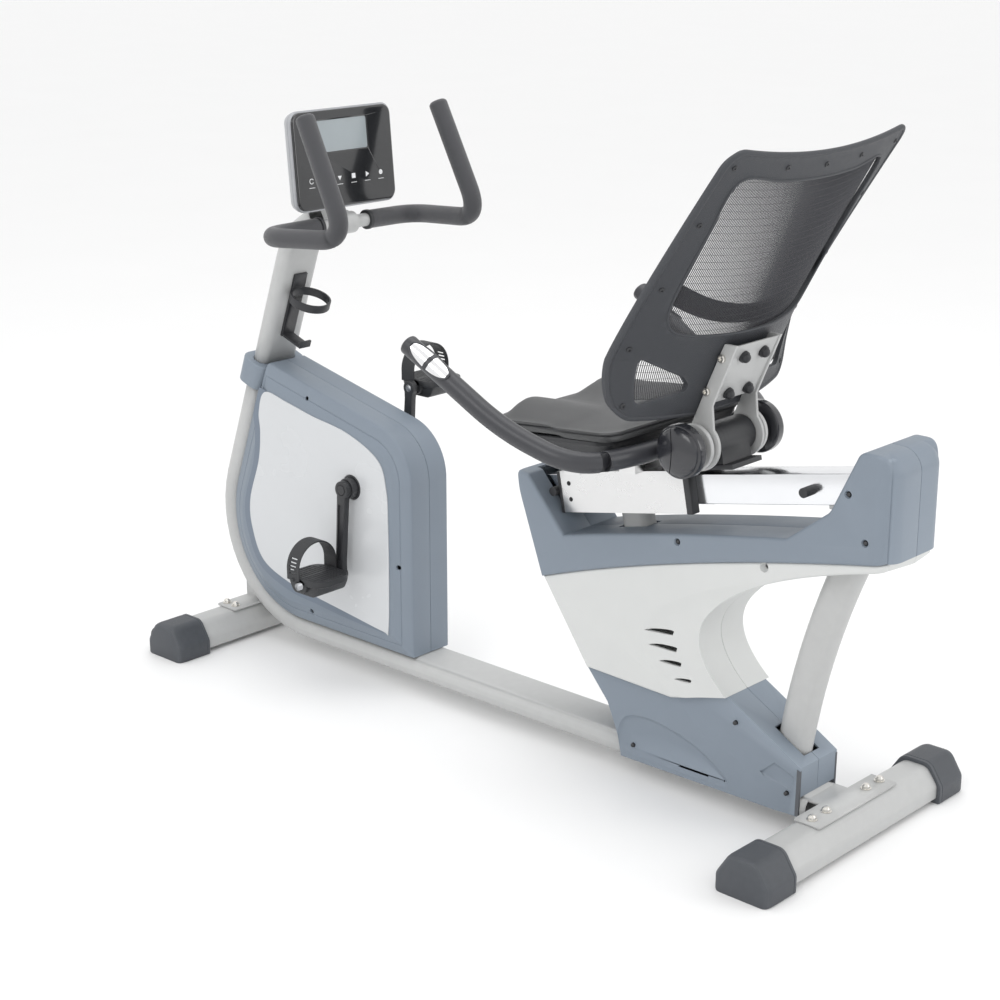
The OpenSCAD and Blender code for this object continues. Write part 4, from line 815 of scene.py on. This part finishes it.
def inflate(piece, frames=18, pressure=4.0, cap=2.5 * MM):
    """Lets the cover swell a little under pressure, then freezes it."""
    before = np.array([v.co[:] for v in piece.data.vertices])
    cloth = piece.modifiers.new("cloth", "CLOTH")
    cloth.settings.quality = 5
    cloth.settings.mass = 0.3
    cloth.settings.tension_stiffness = 20
    cloth.settings.bending_stiffness = 2
    cloth.settings.use_pressure = True
    cloth.settings.uniform_pressure_force = pressure
    cloth.settings.effector_weights.gravity = 0
    for f in range(1, frames + 1):
        bpy.context.scene.frame_set(f)
    done = piece.evaluated_get(bpy.context.evaluated_depsgraph_get()).to_mesh()
    after = np.array([v.co[:] for v in done.vertices])
    piece.modifiers.remove(cloth)
    bpy.context.scene.frame_set(1)
    if len(after) != len(before):
        return
    move = after - before
    length = np.linalg.norm(move, axis=1)[:, None]
    move *= np.minimum(1, cap / np.maximum(length, 1e-9))
    piece.data.vertices.foreach_set("co", (before + move).ravel())
    piece.data.update()


inflate(cushion_piece)
piping = bmesh.new()
path = [np.array(PAN_FRAME @ Vector((*(centre + (p - centre) * 0.982 - (4, 0)), PAN_T + 13.0))) for p in plan]
loop_tube(piping, path, 2.1, 10, lambda p: (0, 0, 1))
new_piece("seat_piping", piping, "soft_rubber", "seat", sharp=80)
pan = bmesh.new()
plan2 = seat_plan(SEAT_W - 26, 258, 48)
middle = np.array([129.0, 0.0])
rings = [[PAN_FRAME @ Vector((*(middle + (p - middle) * g), z)) for p in plan2]
    for g, z in ((0.80, 0.5), (0.84, 0), (0.90, 3), (0.95, 12), (0.975, 24), (0.985, 33), (1.0, 36),
        (1.0, 42), (0.99, 43.8), (0.5, 43.9))]
add_rings(pan, rings)
cutter = bmesh.new()
for s in (-1, 1):
    box_solid(cutter, (14, min(s * 75, s * 171), -1), (244, max(s * 75, s * 171), 38), matrix=PAN_FRAME)
new_piece("pan", carve(pan, cutter), "black_plastic", "seat", ["seat_pan"])

# ---- Hub and side handles ----
knobs = bmesh.new()
dome = [(-116.5 - 11.4 * math.sqrt(max(0, 1 - (r / 40.0) ** 2)), r)
    for r in (39.9, 38.5, 35, 30, 24, 17, 10, 4, 0.6)]
profile = [(-95, 8), (-95, 30), (-95.6, 40), (-97, 43.6), (-99, 44.8), (-110, 44.8), (-112.4, 44.2),
    (-114, 42.6), (-114.3, 40.8), (-115.3, 40.2)] + dome
both_ends(knobs, HUB, profile, 72)
groove = bmesh.new()
for s in (1, -1):
    arc = [(HUB[0] - 26 + 22 * math.cos(a), HUB[1] + 46 * math.sin(a)) for a in np.linspace(-1.15, 1.15, 24)]
    arc += [(p[0] + 1.6, p[1]) for p in arc[::-1]]
    prism(groove, arc, s * -132, s * -114)
knobs = carve(knobs, groove)
new_piece("hub_knobs", knobs, "hub_plastic", "seat", ["hub_caps"], sharp=30)
drum = bmesh.new()
profile = [(-54, 10), (-54, 28.5), (-52.5, 30)]
for y in np.arange(-50, 50, 10.0):
    profile += [(y, 30), (y + 1, 29), (y + 3, 29), (y + 4, 30)]
profile += [(52.5, 30), (54, 28.5), (54, 10)]
revolved(drum, HUB, profile, 72)
both_ends(drum, HUB, ((56.5, 25.2), (56.5, 34), (57.2, 34.8), (61, 34.8), (61.8, 34), (61.8, 25.2)), 64)
new_piece("hub_drum", drum, "black_plastic", "seat")
collars = bmesh.new()
both_ends(collars, HUB, ((69, 24.2), (69, 37), (70, 38.4), (76, 38.4), (77, 37), (77, 24.2)), 64)
new_piece("hub_collars", collars, "frame_paint", "seat")

CAP_R, SIDE_R = 45.0, 17.0
bar_mid = np.array([HUB[0] - CAP_R - SIDE_R - 2, 0, HUB[1] - 13])
side_knots = [bar_mid + p
    for p in ((0, 0, 0), (0, -150, 0), (-34, -255, 0), (-159, -282, 42), (-354, -302, 157))]
side_half = [bar_mid + (0, -50, 0)] + bend(*side_knots[0:3], 60, 12) + bend(*side_knots[1:4], 55, 12) \
    + bend(*side_knots[2:5], 60, 12) + [side_knots[4]]
bars = bmesh.new()
flipped = [p * (1, -1, 1) for p in side_half[::-1]]
add_rings(bars, tube_rings(spaced(flipped + side_half, 14), SIDE_R, (0, 0, 1), 40, (5, 5)))
tip, knot = side_knots[4], side_knots[3]
down = unit(knot - tip)
tilt_angle, turn_angle = math.acos(down[2]), math.atan2(down[1], down[0])
face_up = -np.array([math.cos(tilt_angle) * math.cos(turn_angle), math.cos(tilt_angle) * math.sin(turn_angle),
        -math.sin(tilt_angle)])
across = np.cross(down, face_up)


def on_bar(a, b, r):
    """A point round the handle's end: a along it from the tip, b the angle from the sensor's middle line."""
    b += SENSOR_TURN
    return tip + down * a + r * (math.cos(b) * face_up + math.sin(b) * across)


for y in (-34, 22):
    prism(bars, [(bar_mid[0] + 4, HUB[1] - 22), (HUB[0] - 27, HUB[1] - 22), (HUB[0] - 27, HUB[1] - 2),
            (bar_mid[0] + 4, HUB[1] - 2)],
        y, y + 12)
new_piece("side_bars", bars, "handle_coat", "seat", ["side_handles"], sharp=50)
SENSOR_MID, SENSOR_HALF, SENSOR_WIDE, SENSOR_TURN = 58.0, 44.0, 0.98, 0.8
for side, tag in SIDES:
    bezel, plates = bmesh.new(), bmesh.new()
    path = [on_bar(SENSOR_MID + SENSOR_HALF * math.cos(a), SENSOR_WIDE * math.sin(a), SIDE_R + 0.9)
        for a in turns(56)]
    loop_tube(bezel, path, 1.9, 10, lambda p: p - (tip + down * ((p - tip) @ down)))
    for a0, a1 in ((-0.93, -0.09), (0.09, 0.93)):
        rows = []
        for a in np.linspace(a0, a1, 15):
            b = SENSOR_WIDE * 0.93 * math.sqrt(1 - a * a)
            top = [on_bar(SENSOR_MID + a * SENSOR_HALF, t * b, SIDE_R + 1.5) for t in np.linspace(-1, 1, 15)]
            low = [on_bar(SENSOR_MID + a * SENSOR_HALF, t * b, SIDE_R + 0.06) for t in np.linspace(1, -1, 15)]
            rows.append(top + low)
        add_rings(plates, rows)
    b0 = [[on_bar(SENSOR_MID + a, t, SIDE_R + 2.0) for t in np.linspace(-.93, .93, 15)]
        + [on_bar(SENSOR_MID + a, t, SIDE_R - 0.5) for t in np.linspace(.93, -.93, 15)] for a in (-3.0, 3.0)]
    add_rings(bezel, b0)
    new_piece("sensor_bezel_" + tag, sided(bezel, side), "handle_coat", "seat")
    new_piece("sensor_plates_" + tag, sided(plates, side), "sensor_steel", "seat", ["pulse_sensors"])

# ---- Handlebar ----
BAR_X, BAR_Z, BAR_Y, BAR_R, GRIP_R = -463.5811, 875.1207, 167.0, 12.5, 17.5
knots = [np.array(p)
    for p in ((BAR_X, 0, BAR_Z), (BAR_X - 12, -BAR_Y - 26, BAR_Z - 4), (BAR_X + 190, -BAR_Y - 4, BAR_Z + 10),
        (BAR_X + 84, -BAR_Y, BAR_Z + 219))]
bar_half = [np.array((BAR_X, -24, BAR_Z))] + bend(*knots[0:3], 55, 14) + bend(*knots[1:4], 62,
    16) + [knots[3]]
metal = bmesh.new()
add_rings(metal, tube_rings([(BAR_X - 3, 72, BAR_Z - 1), (BAR_X, 24, BAR_Z), (BAR_X, -24, BAR_Z),
        (BAR_X - 3, -72, BAR_Z - 1)],
        BAR_R, (0.9, 0, 0.43), 36))
new_piece("bar_centre", metal, "frame_paint", "handlebar", ["handlebar"])
grips = bmesh.new()
grip_path = spaced([np.array((BAR_X - 3, -64, BAR_Z - 1))] + bar_half[1:], 14)
for s in (1, -1):
    rings = tube_rings(grip_path, GRIP_R, (0.9, 0, 0.43), 36, (3, 7))
    add_rings(grips, [[(p[0], s * p[1], p[2]) for p in ring] for ring in rings])
new_piece("grips", grips, "grip_foam", "handlebar", ["handlebar_grips"], sharp=50)
collar = bmesh.new()
both_ends(collar, (BAR_X - 2.5, BAR_Z - 0.8),
    ((58, 12.6), (58, 17.6), (58.8, 18.6), (64.4, 18.9), (65.4, 18.2), (65.6, 12.6)), 40)
new_piece("bar_collars", collar, "black_plastic", "handlebar")

# ---- Console ----
CONSOLE_W, CONSOLE_H = 253.0, 184.0
CONSOLE_FRAME = Matrix.Translation((BAR_X + 12, 0, BAR_Z + 32)) @ Matrix.Rotation(-math.radians(5), 4, "Y")


def console_ring(x, d, w=CONSOLE_W, h=CONSOLE_H, r=22.0, z=CONSOLE_H / 2, y=0.0):
    line = inset(round_rect(w, h, r, 10), d) if d else round_rect(w, h, r, 10)
    return [CONSOLE_FRAME @ Vector((x, y + p[0], z + p[1])) for p in line]


body = bmesh.new()
add_rings(body, [console_ring(x, d)
        for x, d in ((-26, 17), (-25.6, 13), (-24, 9), (-19, 4.5), (-12, 1.8), (-8, 0.8), (-7.4, 1.6),
        (-6.6, 1.6), (-6, 0.4), (-1.5, 0), (-0.4, 0.4), (0, 1.2))])
stalk = [(BAR_X - 40, BAR_Z + 92), (BAR_X - 16, BAR_Z + 92), (BAR_X - 11, BAR_Z + 33), (-505.6, 905.1),
    (-530.6, 898.1)]
prism(body, stalk, -24, 24)
new_piece("console_body", body, "console_shell", "frame", ["console_housing"], sharp=40)
glass = bmesh.new()
add_rings(glass,
    [console_ring(x, d) for x, d in ((-1, 3.2), (1.6, 3.2), (2.8, 3.6), (3.6, 4.6), (3.9, 6.2), (4, 8))])
cutter = bmesh.new()
add_rings(cutter,
    [console_ring(x, d, 128, 62, 5, 134, -2) for x, d in ((5, -1), (4, 0), (2.6, 1.8), (2.4, 2.2))])
new_piece("console_glass", carve(glass, cutter), "console_lens", "frame", ["console_face"], sharp=40)
lcd = bmesh.new()
add_rings(lcd, [console_ring(x, d, 124, 58, 4, 134, -2) for x, d in ((2.2, 0), (2.5, 0.2))])
new_piece("console_display", lcd, "display", "frame")
icons = bmesh.new()


def flat_icon(points, y, z):
    rings = [[CONSOLE_FRAME @ Vector((x, y + p[0], z + p[1])) for p in anticlockwise(points)]
        for x in (3.7, 4.25)]
    add_rings(icons, rings)


def arc_points(r, a0, a1, n=14):
    return [polar(r, a) for a in np.linspace(a0, a1, n)]


ring_icon = [p for p in arc_points(5.2, 0.5, 5.8)] + [p for p in arc_points(3.9, 5.8, 0.5)]
icon_shapes = [ring_icon, [(-5, -3), (0, 5), (5, -3)], [(-5, 3), (5, 3), (0, -5)],
    [(-4.5, -4.5), (4.5, -4.5), (4.5, 4.5), (-4.5, 4.5)], [(-3.5, -5), (5, 0), (-3.5, 5)],
    arc_points(4.6, 0, 6.0)]
for k, shape in enumerate(icon_shapes):
    flat_icon(shape, -88 + 35 * k, 56)
    flat_icon([(-7, -0.5), (7, -0.5), (7, 0.5), (-7, 0.5)], -88 + 35 * k, 44)
new_piece("console_icons", icons, "icon_white", "frame")

# ---- Cranks and pedals ----
ARM_Y, ARM_T, CRANK_L, TILT = -92.0, 13.0, 170.0, math.radians(4)


def crank_end(s):
    return CRANK + s * CRANK_L * np.array([math.sin(TILT), math.cos(TILT)])


def arm_outline(e):
    """The arm seen from its side, from the boss round the axle to the eye at the spindle."""
    aim = math.atan2(*(e - CRANK)[::-1])
    r0, r1 = 17, 14
    big = [CRANK + polar(r0, aim + a) for a in np.linspace(0.75, 2 * math.pi - 0.75, 34)]
    small = [e + polar(r1, aim + a) for a in np.linspace(-2.25, 2.25, 26)]
    u = unit(e - CRANK)
    n = np.array([-u[1], u[0]])
    waist_a = [CRANK + u * d - n * (11.5 - 2.2 * d / CRANK_L) for d in (26, 60, 100, 140, 148)]
    waist_b = [CRANK + u * d + n * (11.5 - 2.2 * d / CRANK_L) for d in (148, 140, 100, 60, 26)]
    return anticlockwise(np.array(big + waist_a + small + waist_b))


for s, tag in SIDES:
    e = crank_end(s)
    y0 = ARM_Y
    arm = bmesh.new()
    lofted(arm, arm_outline(e), ((1.8, y0), (0.5, y0 + 0.5), (0, y0 + 1.8), (0, y0 + ARM_T - 1.8),
            (0.5, y0 + ARM_T - 0.5), (1.8, y0 + ARM_T)))
    cutter = bmesh.new()
    u = unit(e - CRANK)
    n = np.array([-u[1], u[0]])
    slot_line = [CRANK + u * d + n * w for d, w in ((30, -5.5), (34, -6.3), (140, -4.4), (144, -3.6),
            (144, 3.6), (140, 4.4), (34, 6.3), (30, 5.5))]
    prism(cutter, slot_line, y0 - 1, y0 + 2.2)
    revolved(cutter, CRANK, [(y0 - 1, 11), (y0 + 1.5, 10.5), (y0 + 1.5, 2)], 40)
    revolved(cutter, e, [(y0 - 1, 7.02), (y0 + ARM_T + 1, 7.02)], 40)
    arm = carve(arm, cutter)
    revolved(arm, CRANK, [(y0 + ARM_T - 0.5, 8), (y0 + ARM_T - 0.5, 19), (-78, 20), (-66, 20), (-66, 8.6)],
        48)
    revolved(arm, CRANK, [(y0 - 1.2, 3), (y0 - 1.2, 8.6), (y0 - 0.4, 9.6), (y0 + 2, 9.6), (y0 + 2, 3)], 36)
    new_piece("crank_arm_" + tag, sided(arm, s), "black_plastic", "crank", ["crank_" + tag])
    # Pedal: tread platform with ribs, side cage, spindle barrel and end cap
    ped = bmesh.new()
    where = Matrix.Translation((e[0], ARM_Y, e[1]))
    mid_y = -6 - 46
    plan3 = round_rect(98, 92, 28, 8)
    add_rings(ped, [[where @ Vector((p[0], mid_y + p[1], z)) for p in inset(plan3, d)] for d, z in
            ((1.5, 2), (0.3, 2.8), (0, 4.4), (0, 12.6), (0.5, 13.8), (1.8, 14.2))])
    for y in np.arange(-38, 39, 7.6):
        half = 40 if abs(y) < 26 else 30
        box_solid(ped, (-half, mid_y + y - 1.5, 13.9), (half, mid_y + y + 1.5, 15.0), 0.5, matrix=where)
    for x in (-43.5, 43.5):
        box_solid(ped, (x - 3, mid_y - 20, 12.5), (x + 3, mid_y + 20, 15.0), 0.9, matrix=where)
    under = anticlockwise(outline([(-42, 3, 2), (-30, -20, 14), (30, -20, 14), (42, 3, 2)], 6))
    lofted(ped, under, ((2, -90), (0.5, -89.4), (0, -88), (0, -16), (0.5, -14.6), (2, -14)), where)
    barrel = [(-98, 7.3), (-98, 12.6), (-97, 14.4), (-95, 15), (-8, 15), (-6.6, 14.4), (-6, 13), (-6, 7.3)]
    revolved(ped, e, [(y + ARM_Y, r) for y, r in barrel], 40)
    new_piece("pedal_body_" + tag, sided(ped, s), "black_plastic", tag + "_pedal", ["pedal_" + tag])
    band = bmesh.new()
    rise, half_w, band_t = 14, 17, 3
    arc = [(-46 - band_t / 2 + 0.1, 8)] + [((46 + band_t / 2) * -math.cos(a), 15 + rise
            + (46 + band_t / 2) * math.sin(a))
        for a in np.linspace(0, math.pi, 40)] + [(46 + band_t / 2 - 0.1, 8)]
    arc = [np.array(p) for p in arc]
    rings = []
    for k in range(len(arc)):
        t = unit(arc[min(k + 1, len(arc) - 1)] - arc[max(k - 1, 0)])
        o = np.array([-t[1], t[0]])
        shape = [(-half_w + .8, -band_t / 2), (half_w - .8, -band_t / 2), (half_w, -band_t / 2 + .8),
            (half_w, band_t / 2 - .8), (half_w - .8, band_t / 2), (-half_w + .8, band_t / 2),
            (-half_w, band_t / 2 - .8), (-half_w, -band_t / 2 + .8)]
        rings.append([where @ Vector((-18 + x, mid_y + arc[k][0] + o[0] * d, arc[k][1] + o[1] * d))
                for x, d in shape])
    add_rings(band, rings)
    cutter = bmesh.new()
    for z in (20, 27, 34, 41, 48):
        box_solid(cutter, (-27, mid_y - 55, z), (-9, mid_y - 38, z + 3.4), matrix=where)
    band = carve(band, cutter)
    box_solid(band, (-22, mid_y - 51.0, 6), (-14, mid_y - 48.6, 12), 0.8, matrix=where)
    new_piece("pedal_strap_" + tag, sided(band, s), "soft_rubber", tag + "_pedal", ["strap_" + tag])

# ---- Foot caps ----
def foot_outline(w, z0, z1, n=6):
    k = z0 + (z1 - z0) * 0.45
    return outline([(-w / 2, z0, 4), (w / 2, z0, 4), (w / 2, k, 16), (w * 0.26, z1, 20), (-w * 0.26, z1, 20),
            (-w / 2, k, 16)], n)


def foot_cap(x, w, end):
    line = anticlockwise(foot_outline(103, 0, 69))
    tube = anticlockwise(foot_outline(88.4, 7.8, 62.2))
    out, inner = -w / 2, -w / 2 + 77
    rings = [[(x + p[0] * g, y, p[1] * h) for p in line] for g, h, y in
        ((0.80, 0.88, out), (0.90, 0.945, out + 1.2), (0.955, 0.975, out + 4), (0.985, 0.992, out + 9),
            (1, 1, out + 16), (1, 1, inner - 12), (1, 1, inner - 8), (0.985, 0.99, inner - 7.4),
            (0.985, 0.99, inner - 6.2), (1, 1, inner - 5.6), (1, 1, inner - 1), (0.99, 0.992, inner))]
    rings += [[(x + p[0], y, p[1]) for p in tube] for y in (inner, out + end)]
    bm = bmesh.new()
    add_rings(bm, rings)
    return bm


WHEEL_X = FRONT + 60 - 29
for name, x, w, end in (("front_caps", FRONT + 60, 522, 42), ("rear_caps", REAR - 100, 574, 5)):
    both = bmesh.new()
    for s in (1, -1):
        cap = foot_cap(x, w, end)
        if name == "front_caps":
            cutter = bmesh.new()
            y = -261 + 21 - 1
            box_solid(cutter, (FRONT - 5, y - 12, -1), (WHEEL_X + 28, y + 12, 57))
            cap = carve(cap, cutter)
            revolved(cap, (WHEEL_X, 29), [(y - 13, 1), (y - 13, 3.9), (y + 13, 3.9), (y + 13, 1)], 24)
        sided(cap, -s)
        mesh = bpy.data.meshes.new("half")
        cap.to_mesh(mesh)
        cap.free()
        both.from_mesh(mesh)
        bpy.data.meshes.remove(mesh)
    new_piece(name + "_shell", both, "foot_cap", "frame", [name], sharp=24)

# ---- Small fittings, with painted shade for the carriage holes ----
# Thin dark discs on the carriage sides: painted shade where its holes are, not real holes.
hole_shade_discs = bmesh.new()
for u, w in ((70, -12), (70, -40)):
    both_ends(hole_shade_discs, rail_point(u, w), ((47.6, 1), (47.6, 4.2), (48.5, 4.0), (48.5, 1)), 20)
new_piece("carriage_hole_shade", hole_shade_discs, "painted_hole_shade", "seat")
allen = bmesh.new()
for p in ((HUB[0] + 14, HUB[1] + 92), (HUB[0] + 42, HUB[1] + 150)):
    both_ends(allen, p, ((60, 1), (60, 7), (66, 7), (67.4, 5.6), (67.4, 3.4), (64.5, 3), (64.5, 0.5)), 24)
new_piece("bracket_bolts", allen, "bolt_steel", "backrest")


# ---- CAD pieces that stay: finishes and softened edges ----
NODE_FINISH = {
    "frame_paint": ["main_frame", "console_post", "front_stabilizer", "rear_stabilizer", "seat_frame",
        "backrest_bracket", "handlebar_clamp"],
    "blue_shell": ["post_sleeve"],
    "black_plastic": ["wheel_left", "wheel_right", "cover_screws", "carriage_glides", "seat_lock",
        "hub_housing", "bottle_cage", "backrest_bolts", "tension_motor", "drive_pulley"],
    "soft_rubber": ["rail_stops", "drive_belt"],
    "rail_metal": ["seat_rail"],
    "steel_plate": ["carriage", "brake_arm"],
    "drive_steel": ["crank_axle", "pedal_spindles", "flywheel_axle", "bearings", "drive_bracket"],
    "bolt_steel": ["stabilizer_bolts"],
    "flywheel_iron": ["flywheel", "brake_magnets"],
}
SOFT_EDGE = {"front_stabilizer": 1.5, "rear_stabilizer": 1.5, "post_sleeve": 1.6, "carriage": 0.8,
    "seat_rail": 1.2, "carriage_glides": 1.0, "hub_housing": 1.5, "bottle_cage": 1.2, "rail_stops": 1.2,
    "handlebar_clamp": 1.5, "backrest_bracket": 1.0, "seat_lock": 1.5, "stabilizer_bolts": 0.4,
    "backrest_bolts": 0.6, "seat_frame": 0.8, "wheel_left": 2.0, "wheel_right": 2.0}
for finish, names in NODE_FINISH.items():
    for name in names:
        part = bpy.data.objects[name]
        part.data.materials.clear()
        part.data.materials.append(FINISHES[finish])
        part.data.shade_smooth()
        weld = part.modifiers.new("weld", "WELD")
        weld.merge_threshold = 0.00002
        if name in SOFT_EDGE:
            soften = part.modifiers.new("soften", "BEVEL")
            soften.width = SOFT_EDGE[name] * MM
            soften.segments = 3
            soften.limit_method = "ANGLE"
            soften.angle_limit = math.radians(35)
            soften.harden_normals = False

# ---- Light and floor ----
scene = bpy.context.scene
scene.view_settings.view_transform = "Standard"
world = bpy.data.worlds.new("studio")
scene.world = world
world.use_nodes = True
world.node_tree.nodes["Background"].inputs["Color"].default_value = (1, 1, 1, 1)
world.node_tree.nodes["Background"].inputs["Strength"].default_value = 1.0


def softbox(name, at, aim, size, power):
    light = bpy.data.lights.new(name, "AREA")
    light.shape = "RECTANGLE"
    light.size, light.size_y = size
    light.energy = power
    lamp = bpy.data.objects.new(name, light)
    scene.collection.objects.link(lamp)
    lamp.location = at
    lamp.rotation_euler = (Vector(aim) - Vector(at)).to_track_quat("-Z", "Y").to_euler()


softbox("key", (0.6, -3.2, 2.8), (0, 0, 0.5), (2.2, 1.4), 26)
softbox("top", (-0.2, 0.2, 3.4), (0, 0, 0.3), (2.6, 1.8), 26)
softbox("rear", (3.2, 1.4, 1.8), (0.2, 0, 0.6), (1.2, 2.0), 16)

floor_mesh = bpy.data.meshes.new("floor")
floor_mesh.from_pydata([(x, y, 0) for x, y in ((-90, -90), (90, -90), (90, 90), (-90, 90))], [],
    [(0, 1, 2, 3)])
floor = bpy.data.objects.new("floor", floor_mesh)
scene.collection.objects.link(floor)
floor.data.materials.append(finish_of("floor", (0.93, 0.93, 0.93), 0.6, grain=(60, 0.002), mottle=(2, 0.01)))
